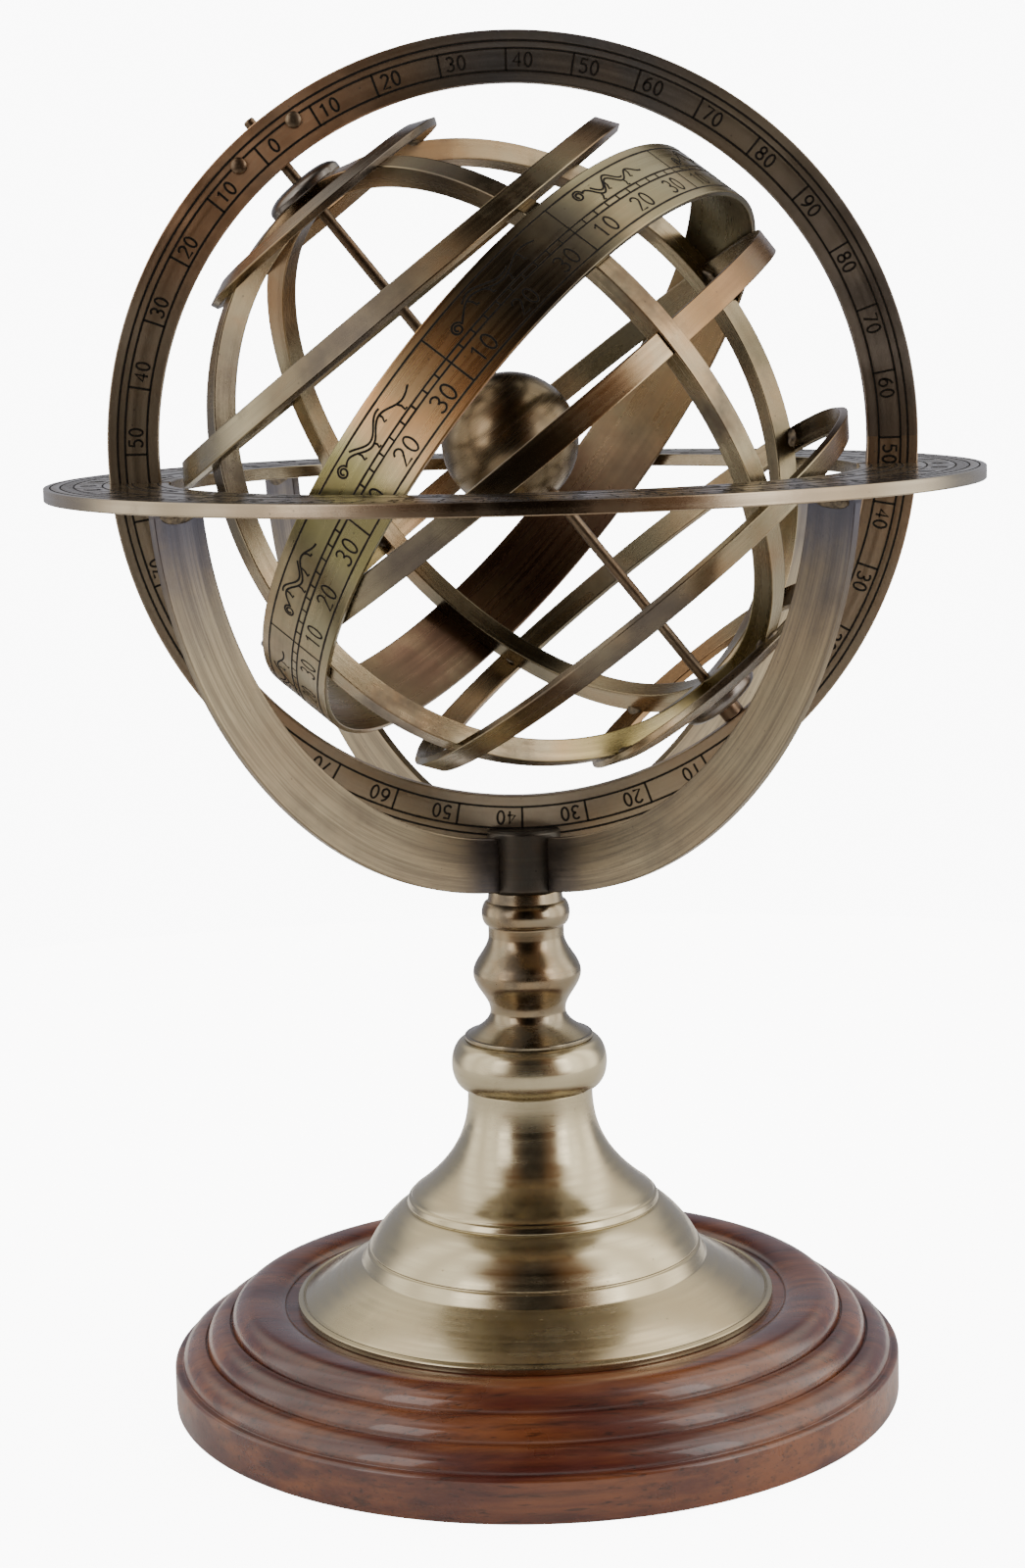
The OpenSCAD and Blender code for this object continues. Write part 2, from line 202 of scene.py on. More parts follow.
def bore_outline(outside: Sequence[Sequence[float]], bore: float) -> list:
    """Closes an outline that runs upwards with a straight bore of the given radius."""
    low, high = outside[0][1], outside[-1][1]
    return [[bore, low], *outside, [bore, high]]


def box_outline(inner: float, outer: float, low: float, high: float) -> list:
    """Returns the rectangle between two radii and two heights."""
    return [[inner, low], [outer, low], [outer, high], [inner, high]]


def plate_arc(name: str, inner: float, outer: float, low: float, high: float, matrix: np.ndarray,
              start: Callable, end: Callable, steps: int = 96) -> bpy.types.Object:
    """Makes part of a flat ring, whose two end angles depend on the radius.

    A point at the fraction t along the piece and at the radius r has the angle
    start(r) + t (end(r) - start(r)), in radians about the local Z axis of matrix.
    """
    ring = crisp(box_outline(inner, outer, low, high))
    t = np.linspace(0, 1, steps + 1)[:, None]
    angle = start(ring[:, 0]) + t * (end(ring[:, 0]) - start(ring[:, 0]))
    points = np.stack([ring[:, 0] * np.cos(angle), ring[:, 0] * np.sin(angle),
                       np.broadcast_to(ring[:, 1], angle.shape)], -1)
    length = abs(float(np.ptp(angle[:, 0]))) * (inner + outer) / 2
    return grid_piece(name, place(points, matrix), False, length)


def solder_bead(name: str, centre: Vector, out: Vector, along: Vector, half_mm: tuple[float, float, float],
                source: np.random.Generator) -> bpy.types.Object:
    """Makes a small uneven lump: a flattened ball whose radius is changed by three crossed sine waves.

    Args:
        name: the object's name.
        centre: where it lies.
        out: the way that its thin side faces.
        along: the way of its first half axis.
        half_mm: its half axes in millimetres: along, across and out.
        source: the seeded source of its unevenness.

    Returns:
        The new object.
    """
    u, v = np.meshgrid(np.linspace(0, 2 * np.pi, 24, endpoint=False), np.linspace(0.08, np.pi - 0.08, 13),
                       indexing="ij")
    phase = source.uniform(0, 6.28, 3)
    bumpy = 1 + 0.16 * np.sin(3 * u + phase[0]) * np.sin(2 * v + phase[1]) + 0.1 * np.sin(5 * v + phase[2])
    size = np.array(half_mm) * MM * source.uniform(0.8, 1.15)
    lump = np.stack([np.sin(v) * np.cos(u), np.sin(v) * np.sin(u), np.cos(v)], -1) * bumpy[..., None] * size
    spot = frame_matrix(centre, out, along)
    return grid_piece(name, place(lump, spot).transpose(1, 0, 2), False, 0.01)


def cut_away(piece: bpy.types.Object, cutter: bpy.types.Object) -> None:
    """Removes the cutter's volume from a piece, and the cutter from the scene."""
    tool = piece.modifiers.new("cut", "BOOLEAN")
    tool.object, tool.operation, tool.solver = cutter, "DIFFERENCE", "EXACT"
    graph = bpy.context.evaluated_depsgraph_get()
    mesh = bpy.data.meshes.new_from_object(piece.evaluated_get(graph))
    piece.modifiers.clear()
    piece.data = mesh
    bpy.data.objects.remove(cutter)


# ---------------------------------------------------------------- engraving


def arc(cx: float, cy: float, rx: float, ry: float, start: float, end: float, steps: int = 8) -> np.ndarray:
    """Returns a stroke along an ellipse, from the angle start to the angle end in degrees."""
    return np.array(bow(cx, cy, rx, ry, start, end, steps))


def line(*points: Sequence[float]) -> np.ndarray:
    """Returns a stroke through the points."""
    return np.array(points, float)


# Strokes of each digit in a box 0.6 wide and 1 high
DIGITS = {
    "0": [arc(0.3, 0.5, 0.26, 0.5, 0, 360, 18)],
    "1": [line((0.1, 0.8), (0.32, 1), (0.32, 0))],
    "2": [np.concatenate([arc(0.3, 0.74, 0.26, 0.26, 165, -35), line((0.04, 0), (0.58, 0))])],
    "3": [arc(0.27, 0.75, 0.25, 0.25, 150, -90), arc(0.27, 0.26, 0.28, 0.26, 90, -150)],
    "4": [line((0.44, 0), (0.44, 1), (0.02, 0.32), (0.6, 0.32))],
    "5": [np.concatenate([line((0.54, 1), (0.12, 1), (0.09, 0.56)), arc(0.28, 0.32, 0.28, 0.32, 110, -145)])],
    "6": [arc(0.3, 0.31, 0.27, 0.31, 0, 360, 14), arc(0.62, 0.36, 0.59, 0.66, 180, 106)],
    "7": [line((0.04, 1), (0.58, 1), (0.22, 0))],
    "8": [arc(0.3, 0.76, 0.22, 0.24, 0, 360, 12), arc(0.3, 0.26, 0.27, 0.26, 0, 360, 12)],
    "9": [arc(0.3, 0.69, 0.27, 0.31, 0, 360, 14), arc(-0.02, 0.64, 0.59, 0.66, 0, -74)],
}


def number(value: int, height: float, digit_gap: float = 0.82) -> list[np.ndarray]:
    """Returns the strokes of a number centred on the origin, in metres."""
    text = str(value)
    width = digit_gap * (len(text) - 1) + 0.6
    strokes = []
    for place_in_text, digit in enumerate(text):
        offset = np.array([place_in_text * digit_gap - width / 2, -0.5])
        strokes += [(stroke + offset) * height for stroke in DIGITS[digit]]
    return strokes


def turned(strokes: list[np.ndarray], angle: float, offset: Sequence[float]) -> list[np.ndarray]:
    """Returns strokes turned by an angle in radians and then moved."""
    turn = np.array([[math.cos(angle), math.sin(angle)], [-math.sin(angle), math.cos(angle)]])
    return [stroke @ turn + np.asarray(offset) for stroke in strokes]


def ring_line(radius: float, start: float = 0, end: float = 360, step: float = 1.5) -> np.ndarray:
    """Returns a stroke along a circle about the origin, between two angles in degrees."""
    return arc(0, 0, radius, radius, start, end, max(2, int(abs(end - start) / step)))


def radial(angle: float, inner: float, outer: float) -> np.ndarray:
    """Returns a straight stroke along a radius, at an angle in radians."""
    way = np.array([math.cos(angle), math.sin(angle)])
    return np.array([way * inner, way * outer])


def engraving(name: str, strokes: list[np.ndarray], width: float, lift: float,
              wrap: Callable[[np.ndarray, float], np.ndarray], sink: float = 0.06 * MM) -> bpy.types.Object:
    """Makes closed ribbons that lie along strokes drawn on a face.

    Each station of a stroke has four corners: half a width to either side of the stroke, square to
    its direction, at the height `lift` above the face and at the depth `sink` below it.

    Args:
        name: the object's name.
        strokes: arrays of points in the face's own plane, in metres.
        width: width of the ribbons.
        lift: height of their tops above the face.
        wrap: turns points of the face's plane and a height above it into places in the frame.
        sink: depth of their undersides below the face.

    Returns:
        The new object.
    """
    verts, faces, start = [], [], 0
    for stroke in strokes:
        way = np.gradient(stroke, axis=0)
        way /= np.linalg.norm(way, axis=1, keepdims=True) + 1e-12
        side = np.stack([-way[:, 1], way[:, 0]], 1) * width / 2
        left, right = stroke + side, stroke - side
        verts.append(np.stack([wrap(left, lift), wrap(right, lift),
                               wrap(right, -sink), wrap(left, -sink)], 1))
        n = len(stroke)
        i, j = (a.ravel() for a in np.meshgrid(np.arange(n - 1), np.arange(4), indexing="ij"))
        quads = np.stack([i * 4 + j, i * 4 + (j + 1) % 4, (i + 1) * 4 + (j + 1) % 4, (i + 1) * 4 + j], 1)
        ends = np.array([[0, 3, 2, 1], [4 * n - 4, 4 * n - 3, 4 * n - 2, 4 * n - 1]])
        faces.append(np.concatenate([quads, ends]) + start)
        start += 4 * n
    points = np.concatenate([v.reshape(-1, 3) for v in verts])
    return new_piece(name, points, np.concatenate(faces).tolist(), smooth=False)


def flat_wrap(matrix: np.ndarray, height: float, mirrored: bool = False) -> Callable:
    """Returns a wrap for a flat face at a height along the local Z axis of matrix."""
    def wrap(points: np.ndarray, lift: float) -> np.ndarray:
        """Puts points of the plane at height plus lift."""
        up = np.full(len(points), height - lift if mirrored else height + lift)
        return place(np.column_stack([points, up]), matrix)
    return wrap


def drum_wrap(matrix: np.ndarray, radius: float) -> Callable:
    """Returns a wrap for the outside of a cylinder: x runs round it and y along its axis."""
    def wrap(points: np.ndarray, lift: float) -> np.ndarray:
        """Puts points at radius plus lift, at the angle x / radius."""
        angle = points[:, 0] / radius
        reach = radius + lift
        return place(np.column_stack([reach * np.cos(angle), reach * np.sin(angle), points[:, 1]]), matrix)
    return wrap


# ---------------------------------------------------------------- shader groups


class Group:
    """A shader node group under construction."""

    def __init__(self, name: str, inputs: dict[str, tuple[str, object]], outputs: dict[str, str]) -> None:
        """Makes the group and its sockets.

        Args:
            name: the group's name.
            inputs: socket name to its kind (Float, Vector or Color) and default.
            outputs: socket name to its kind.
        """
        self.tree = bpy.data.node_groups.new(name, "ShaderNodeTree")
        for key, (kind, default) in inputs.items():
            socket = self.tree.interface.new_socket(key, in_out="INPUT", socket_type=f"NodeSocket{kind}")
            if default is not None:
                socket.default_value = default
        for key, kind in outputs.items():
            self.tree.interface.new_socket(key, in_out="OUTPUT", socket_type=f"NodeSocket{kind}")
        self.into = self.tree.nodes.new("NodeGroupInput").outputs
        self.out = self.tree.nodes.new("NodeGroupOutput").inputs

    def wire(self, source: bpy.types.NodeSocket, target: bpy.types.NodeSocket) -> None:
        """Links two sockets."""
        self.tree.links.new(source, target)


def node(tree: bpy.types.NodeTree, kind: str, links: dict | None = None, **settings) -> bpy.types.Node:
    """Adds a shader node.

    Args:
        tree: where it goes.
        kind: its type without the leading ShaderNode.
        links: input name or number to a socket to link, or to a value to set.
        settings: properties of the node.

    Returns:
        The node.
    """
    made = tree.nodes.new(f"ShaderNode{kind}")
    for key, value in settings.items():
        setattr(made, key, value)
    for key, value in (links or {}).items():
        if isinstance(value, bpy.types.NodeSocket):
            tree.links.new(value, made.inputs[key])
        else:
            made.inputs[key].default_value = value
    return made


def noise(tree: bpy.types.NodeTree, vector: bpy.types.NodeSocket, scale: object, detail: float = 4,
          rough: float = 0.55) -> bpy.types.NodeSocket:
    """Adds a noise texture and returns its value."""
    made = node(tree, "TexNoise", {"Vector": vector, "Scale": scale, "Detail": detail, "Roughness": rough})
    return made.outputs["Fac"]


def ramp(tree: bpy.types.NodeTree, value: bpy.types.NodeSocket, low: object, high: object,
         to_low: float = 0, to_high: float = 1) -> bpy.types.NodeSocket:
    """Adds a smooth step from low to high and returns its value."""
    made = node(tree, "MapRange", {"Value": value, "From Min": low, "From Max": high, "To Min": to_low,
                                   "To Max": to_high}, interpolation_type="SMOOTHSTEP")
    return made.outputs["Result"]


def mix(tree: bpy.types.NodeTree, factor: object, first: object, second: object) -> bpy.types.NodeSocket:
    """Adds a colour mix and returns its colour."""
    made = node(tree, "Mix", {0: factor, 6: first, 7: second}, data_type="RGBA")
    return made.outputs[2]


def maths(tree: bpy.types.NodeTree, operation: str, first: object,
          second: object = 0.5) -> bpy.types.NodeSocket:
    """Adds a maths node and returns its value."""
    return node(tree, "Math", {0: first, 1: second}, operation=operation).outputs[0]


def build_tarnish() -> bpy.types.NodeTree:
    """Builds the group that blends bright metal, warm copper tones and dark tarnish in soft clouds.

    Returns:
        A group with inputs Vector, Scale, Bright, Warm, Dark, Warmth and Darkness, and outputs
        Color and Mask, where Mask is 1 in the darkest places.
    """
    group = Group("Tarnish", {
        "Vector": ("Vector", None), "Scale": ("Float", 30.0), "Bright": ("Color", (0.6, 0.5, 0.33, 1)),
        "Warm": ("Color", (0.45, 0.2, 0.08, 1)), "Dark": ("Color", (0.1, 0.08, 0.05, 1)),
        "Warmth": ("Float", 0.4), "Darkness": ("Float", 0.3)}, {"Color": "Color", "Mask": "Float"})
    tree, into = group.tree, group.into
    clouds = noise(tree, into["Vector"], into["Scale"], 3)
    fine = noise(tree, into["Vector"], maths(tree, "MULTIPLY", into["Scale"], 7.3), 5, 0.65)
    cloudy = maths(tree, "ADD", maths(tree, "MULTIPLY", clouds, 0.75), maths(tree, "MULTIPLY", fine, 0.25))
    warm = ramp(tree, cloudy, 0.42, 0.66)
    shifted = node(tree, "VectorMath", {0: into["Vector"], 1: (0.37, 0.11, 0.23)}, operation="ADD").outputs[0]
    spots = noise(tree, shifted, maths(tree, "MULTIPLY", into["Scale"], 1.7), 6, 0.6)
    dark = ramp(tree, spots, 0.5, 0.72)
    warmed = mix(tree, maths(tree, "MULTIPLY", warm, into["Warmth"]), into["Bright"], into["Warm"])
    mask = maths(tree, "MULTIPLY", dark, into["Darkness"])
    group.wire(mix(tree, mask, warmed, into["Dark"]), group.out["Color"])
    group.wire(mask, group.out["Mask"])
    return tree


def build_brush() -> bpy.types.NodeTree:
    """Builds the group that draws fine scratches along one direction.

    Returns:
        A group with inputs Vector, Along and Across (how fast the scratches change in the vector's
        X and in its Y and Z), and outputs Height and Streak, both about 0 to 1.
    """
    group = Group("Brush", {"Vector": ("Vector", None), "Along": ("Float", 40.0),
                            "Across": ("Float", 4000.0)},
                  {"Height": "Float", "Streak": "Float"})
    tree, into = group.tree, group.into
    size = node(tree, "CombineXYZ", {"X": into["Along"], "Y": into["Across"], "Z": into["Across"]}).outputs[0]
    stretched = node(tree, "VectorMath", {0: into["Vector"], 1: size}, operation="MULTIPLY").outputs[0]
    group.wire(noise(tree, stretched, 1.0, 5, 0.7), group.out["Height"])
    wide = node(tree, "VectorMath", {0: stretched, 1: (0.35, 0.22, 0.22)}, operation="MULTIPLY").outputs[0]
    group.wire(ramp(tree, noise(tree, wide, 1.0, 3), 0.3, 0.7), group.out["Streak"])
    return tree


def build_grain() -> bpy.types.NodeTree:
    """Builds the group that draws long wood fibres and pores along X.

    Returns:
        A group with inputs Vector, Pale, Mid and Deep, and outputs Color and Height.
    """
    group = Group("Grain", {"Vector": ("Vector", None), "Pale": ("Color", (0.3, 0.1, 0.04, 1)),
                            "Mid": ("Color", (0.15, 0.04, 0.02, 1)),
                            "Deep": ("Color", (0.03, 0.01, 0.01, 1))},
                  {"Color": "Color", "Height": "Float"})
    tree, into = group.tree, group.into

    def stretched(x: float, y: float, z: float) -> bpy.types.NodeSocket:
        """Returns the vector scaled along each axis."""
        return node(tree, "VectorMath", {0: into["Vector"], 1: (x, y, z)}, operation="MULTIPLY").outputs[0]

    bands = ramp(tree, noise(tree, stretched(11, 60, 130), 1.0, 5, 0.6), 0.40, 0.64)
    fibres = noise(tree, stretched(26, 420, 520), 1.0, 5, 0.7)
    pores = ramp(tree, noise(tree, stretched(90, 1500, 1500), 1.0, 2, 0.5), 0.6, 0.72)
    body = mix(tree, bands, into["Mid"], into["Pale"])
    lined = mix(tree, maths(tree, "MULTIPLY", ramp(tree, fibres, 0.48, 0.75), 0.65), body, into["Deep"])
    group.wire(mix(tree, maths(tree, "MULTIPLY", pores, 0.6), lined, into["Deep"]), group.out["Color"])
    group.wire(maths(tree, "SUBTRACT", fibres, pores), group.out["Height"])
    return tree


def build_specks() -> bpy.types.NodeTree:
    """Builds the group that scatters small round specks.

    Returns:
        A group with inputs Vector, Scale and Size, and the output Mask, which is 1 on a speck.
    """
    group = Group("Specks", {"Vector": ("Vector", None), "Scale": ("Float", 600.0), "Size": ("Float", 0.12)},
                  {"Mask": "Float"})
    tree, into = group.tree, group.into
    cells = node(tree, "TexVoronoi", {"Vector": into["Vector"], "Scale": into["Scale"]})
    near = maths(tree, "LESS_THAN", cells.outputs["Distance"], into["Size"])
    shade = node(tree, "SeparateColor", {0: cells.outputs["Color"]}).outputs[0]
    rare = maths(tree, "GREATER_THAN", shade, 0.72)
    group.wire(maths(tree, "MULTIPLY", near, rare), group.out["Mask"])
    return tree


class Lay(Enum):
    """The way that a metal's scratches run."""

    ROUND = "round"
    ALONG = "along"


GROUPS: dict[str, bpy.types.NodeTree] = {}


def build_groups() -> None:
    """Builds each shared effect once."""
    GROUPS.update(tarnish=build_tarnish(), brush=build_brush(), grain=build_grain(), specks=build_specks())


def effect(tree: bpy.types.NodeTree, name: str, links: dict) -> bpy.types.Node:
    """Adds a shared effect to a material."""
    made = node(tree, "Group", node_tree=GROUPS[name])
    for key, value in links.items():
        if isinstance(value, bpy.types.NodeSocket):
            tree.links.new(value, made.inputs[key])
        else:
            made.inputs[key].default_value = value
    return made


def start_material(name: str, **constants) -> tuple:
    """Starts a material.

    Returns:
        The material, its node tree, its shader and its Texture Coordinate node.
    """
    material = bpy.data.materials.new(name)
    material.use_nodes = True
    tree = material.node_tree
    shader = tree.nodes["Principled BSDF"]
    for key, value in constants.items():
        shader.inputs[key.replace("_", " ")].default_value = value
    return material, tree, shader, node(tree, "TexCoord")


def rgb(color: Sequence[float]) -> tuple:
    """Returns a colour with its alpha."""
    return (*color, 1.0)


@dataclass(frozen=True)
class Metal:
    """An aged brass finish: three tones in clouds, and fine scratches.

    Where a span of heights is given, a darker bluish tone comes in unevenly between them: painted shade under
    the horizon ring, with a patina tint. Each listed patch is a place along the piece, its reach to either
    side, both in metres, and its colour; most are stains, and the one on the horizon ring is painted shade.
    The density is that of the scratches across their way, and lines is how much they darken it.
    """

    name: str
    bright: tuple[float, float, float]
    warm: tuple[float, float, float]
    dark: tuple[float, float, float]
    warmth: float = 0.4
    darkness: float = 0.3
    scale: float = 28.0
    roughness: float = 0.28
    scratch: float = 0.25
    lay: Lay = Lay.ALONG
    streaks: float = 0.16
    patina_span: tuple[float, float] | None = None
    patina: tuple[float, float, float] = (0.08, 0.08, 0.1)
    stains: tuple[tuple[float, float, tuple[float, float, float]], ...] = ()
    density: float = 3200.0
    lines: float = 0.0

    def build(self) -> bpy.types.Material:
        """Returns the material."""
        material, tree, shader, coords = start_material(self.name)
        place_of = coords.outputs["Object"]
        tarnish = effect(tree, "tarnish", {
            "Vector": place_of, "Scale": self.scale, "Bright": rgb(self.bright), "Warm": rgb(self.warm),
            "Dark": rgb(self.dark), "Warmth": self.warmth, "Darkness": self.darkness})
        way = self.round_way(tree, place_of) if self.lay is Lay.ROUND else coords.outputs["UV"]
        brush = effect(tree, "brush", {"Vector": way, "Along": 30.0, "Across": self.density})
        specks = effect(tree, "specks", {"Vector": place_of, "Scale": 420.0, "Size": 0.09})
        stained_and_shaded = self.add_stains(tree, coords, tarnish.outputs["Color"])
        streaky = mix(tree, maths(tree, "MULTIPLY", brush.outputs["Streak"], self.streaks), stained_and_shaded,
                      rgb(self.dark))
        scored = ramp(tree, brush.outputs["Height"], 0.42, 0.62, 0.0, self.lines)
        lined = mix(tree, scored, streaky, rgb(self.dark))
        specked = mix(tree, maths(tree, "MULTIPLY", specks.outputs["Mask"], 0.5), lined, rgb(self.dark))
        if self.patina_span:
            specked = self.add_patina(tree, place_of, specked)
        tree.links.new(specked, shader.inputs["Base Color"])
        metallic = maths(tree, "SUBTRACT", 1.0, maths(tree, "MULTIPLY", tarnish.outputs["Mask"], 0.25))
        tree.links.new(metallic, shader.inputs["Metallic"])
        duller = maths(tree, "MULTIPLY", tarnish.outputs["Mask"], 0.22)
        grainy = maths(tree, "MULTIPLY", brush.outputs["Streak"], 0.1)
        total = maths(tree, "ADD", maths(tree, "ADD", duller, grainy), self.roughness)
        tree.links.new(total, shader.inputs["Roughness"])
        bump = node(tree, "Bump", {"Height": brush.outputs["Height"], "Strength": self.scratch,
                                   "Distance": 0.00004})
        tree.links.new(bump.outputs["Normal"], shader.inputs["Normal"])
        return material

    def add_patina(self, tree: bpy.types.NodeTree, place_of: bpy.types.NodeSocket,
                   color: bpy.types.NodeSocket) -> bpy.types.NodeSocket:
        """Returns the colour with the darker bluish tone, painted shade with a patina tint, mixed in between
        its two heights.
        """
        height = node(tree, "SeparateXYZ", {0: place_of}).outputs["Z"]
        rise = ramp(tree, height, *self.patina_span)
        uneven = ramp(tree, noise(tree, place_of, 70.0, 4), 0.25, 0.6, 0.45, 1.0)
        return mix(tree, maths(tree, "MULTIPLY", rise, uneven), color, rgb(self.patina))

    def add_stains(self, tree: bpy.types.NodeTree, coords: bpy.types.Node,
                   color: bpy.types.NodeSocket) -> bpy.types.NodeSocket:
        """Returns the colour with each listed patch mixed in, stains and painted shade alike: full at its
        place and uneven towards its ends.
        """
        if not self.stains:
            return color
        along = node(tree, "SeparateXYZ", {0: coords.outputs["UV"]}).outputs["X"]
        uneven = ramp(tree, noise(tree, coords.outputs["Object"], 55.0, 4), 0.3, 0.62, 0.45, 1.0)
        for spot, reach, tone in self.stains:
            away = maths(tree, "ABSOLUTE", maths(tree, "SUBTRACT", along, spot))
            near = ramp(tree, away, reach, 0.35 * reach)
            color = mix(tree, maths(tree, "MULTIPLY", near, uneven), color, rgb(tone))
        return color

    @staticmethod
    def round_way(tree: bpy.types.NodeTree, place_of: bpy.types.NodeSocket) -> bpy.types.NodeSocket:
        """Returns the vector (angle, radius, height), so that scratches run round the pedestal."""
        parts = node(tree, "SeparateXYZ", {0: place_of}).outputs
        flat = node(tree, "CombineXYZ", {"X": parts["X"], "Y": parts["Y"]}).outputs[0]
        radius = node(tree, "VectorMath", {0: flat}, operation="LENGTH").outputs["Value"]
        return node(tree, "CombineXYZ", {"X": parts["X"], "Y": radius, "Z": parts["Z"]}).outputs[0]


@dataclass(frozen=True)
class Lacquered:
    """Dark red-brown wood under a gloss lacquer."""

    name: str = "mahogany lacquer"
    pale: tuple[float, float, float] = (0.17, 0.055, 0.018)
    mid: tuple[float, float, float] = (0.065, 0.014, 0.009)
    deep: tuple[float, float, float] = (0.011, 0.004, 0.003)
    roughness: float = 0.3

    def build(self) -> bpy.types.Material:
        """Returns the material."""
        material, tree, shader, coords = start_material(
            self.name, Coat_Roughness=0.07, Coat_IOR=1.5, Specular_IOR_Level=0.4)
        shader.inputs["Coat Weight"].default_value = 0.5
        grain = effect(tree, "grain", {"Vector": coords.outputs["Object"], "Pale": rgb(self.pale),
                                       "Mid": rgb(self.mid), "Deep": rgb(self.deep)})
        wear = noise(tree, coords.outputs["Object"], 60.0, 4)
        tree.links.new(grain.outputs["Color"], shader.inputs["Base Color"])
        tree.links.new(ramp(tree, wear, 0.3, 0.7, self.roughness - 0.06, self.roughness + 0.12),
                       shader.inputs["Roughness"])
        bump = node(tree, "Bump", {"Height": grain.outputs["Height"], "Strength": 0.2, "Distance": 0.0001})
        tree.links.new(bump.outputs["Normal"], shader.inputs["Normal"])
        return material


@dataclass(frozen=True)
class Matt:
    """A matt finish with two tones in fine noise: felt, inlay and solder."""

    name: str
    first: tuple[float, float, float]
    second: tuple[float, float, float]
    scale: float
    roughness: float
    metallic: float = 0.0
    bump: float = 0.3
    gloss: float = 0.5

    def build(self) -> bpy.types.Material:
        """Returns the material."""
        material, tree, shader, coords = start_material(self.name, Metallic=self.metallic,
                                                        Specular_IOR_Level=self.gloss)
        value = noise(tree, coords.outputs["Object"], self.scale, 6, 0.65)
        tone = ramp(tree, value, 0.35, 0.65)
        tree.links.new(mix(tree, tone, rgb(self.first), rgb(self.second)), shader.inputs["Base Color"])
        tree.links.new(ramp(tree, value, 0.3, 0.7, self.roughness - 0.08, self.roughness + 0.08),
                       shader.inputs["Roughness"])
        bump = node(tree, "Bump", {"Height": value, "Strength": self.bump, "Distance": 0.0002})
        tree.links.new(bump.outputs["Normal"], shader.inputs["Normal"])
        return material


class Finish(Enum):
    """The finishes of the model."""

    WOOD = Lacquered()
    FELT = Matt("green felt", (0.010, 0.03, 0.014), (0.025, 0.06, 0.03), 2500.0, 0.9, 0.0, 0.8)
    STEEL = Metal("steel hardware", (0.5, 0.5, 0.48), (0.4, 0.36, 0.3), (0.15, 0.14, 0.13), 0.3, 0.4)
    TURNED = Metal("turned brass", (0.46, 0.40, 0.265), (0.40, 0.28, 0.15), (0.20, 0.165, 0.10), 0.3, 0.3,
                   22.0, 0.16, 0.1, Lay.ROUND, 0.08)
    STEM = Metal("aged stem brass", (0.25, 0.215, 0.15), (0.26, 0.165, 0.08), (0.07, 0.06, 0.05), 0.6, 0.75,
                 55.0, 0.18, 0.1, Lay.ROUND, 0.1)
    HEAD = Metal("dark head brass", (0.06, 0.055, 0.047), (0.09, 0.06, 0.035), (0.018, 0.017, 0.018),
                 0.6, 0.8,
                 60.0, 0.36, 0.3)
    # The arms darken to a bluish tone towards their tops, under the horizon ring: painted shade, with a
    # patina tint.
    ARM = Metal("brushed arm brass", (0.30, 0.25, 0.165), (0.24, 0.165, 0.10), (0.09, 0.075, 0.06), 0.5, 0.5,
                20.0, 0.3, 1.0, Lay.ALONG, 0.45, patina_span=(0.155, 0.196), patina=(0.07, 0.072, 0.095),
                stains=((0.0, 0.016, (0.055, 0.05, 0.055)),), density=1500.0, lines=0.5)
    BAR = Metal("bar brass", (0.28, 0.24, 0.155), (0.30, 0.17, 0.08), (0.06, 0.05, 0.04), 0.7, 0.8,
                24.0, 0.2, 0.2, stains=((0.045, 0.03, (0.09, 0.075, 0.06)), (0.13, 0.03, (0.26, 0.15, 0.07)),
                                        (0.24, 0.035, (0.11, 0.095, 0.06)),
                                        (0.33, 0.03, (0.22, 0.175, 0.07))))
    MERIDIAN = Metal("dark meridian brass", (0.40, 0.34, 0.25), (0.46, 0.29, 0.17), (0.17, 0.15, 0.125),
                     0.6, 0.6, 14.0, 0.33, 0.25, stains=((0.025, 0.05, (0.24, 0.21, 0.18)),
                     (0.115, 0.04, (0.25, 0.25, 0.25)), (0.188, 0.045, (0.55, 0.33, 0.19))))
    RIVET = Metal("dark rivet brass", (0.16, 0.12, 0.08), (0.16, 0.095, 0.055), (0.04, 0.034, 0.03),
                  0.6, 0.6, 60.0, 0.3, 0.2)
    HUB = Metal("grey hub bronze", (0.19, 0.175, 0.16), (0.17, 0.12, 0.09), (0.045, 0.04, 0.04), 0.5, 0.8,
                90.0, 0.24, 0.2)
    # The horizon's one patch sits where the ring faces the camera: painted shade that darkens the middle of
    # its rim and the front of its top.
    HORIZON = Metal("bright horizon brass", (0.38, 0.33, 0.24), (0.30, 0.20, 0.11), (0.12, 0.105, 0.08),
                    0.45, 0.5, 18.0, 0.17, 0.2, stains=((0.447, 0.09, (0.24, 0.17, 0.11)),))
    BAND = Metal("olive band brass", (0.24, 0.215, 0.13), (0.36, 0.19, 0.085), (0.075, 0.065, 0.045),
                 0.55, 0.6,
                 16.0, 0.24, 0.2, stains=((0.064, 0.02, (0.42, 0.225, 0.095)),
                                          (0.097, 0.02, (0.09, 0.08, 0.063)),
                 (0.036, 0.016, (0.21, 0.19, 0.08)), (0.305, 0.07, (0.12, 0.07, 0.045))))
    BALL = Metal("ball bronze", (0.15, 0.115, 0.07), (0.17, 0.10, 0.05), (0.055, 0.042, 0.028), 0.6, 0.5,
                 34.0, 0.2, 0.05, Lay.ALONG, 0.0)
    INLAY = Matt("dark inlay", (0.004, 0.0038, 0.0035), (0.010, 0.009, 0.008), 900.0, 0.7, 0.0, 0.3, 0.12)
    LIP = Matt("raised lip", (0.24, 0.20, 0.13), (0.10, 0.08, 0.05), 260.0, 0.4, 1.0)
    SOLDER = Matt("dark solder", (0.07, 0.06, 0.05), (0.20, 0.16, 0.11), 700.0, 0.42, 0.9, 0.8)


MATERIALS: dict[Finish, bpy.types.Material] = {}


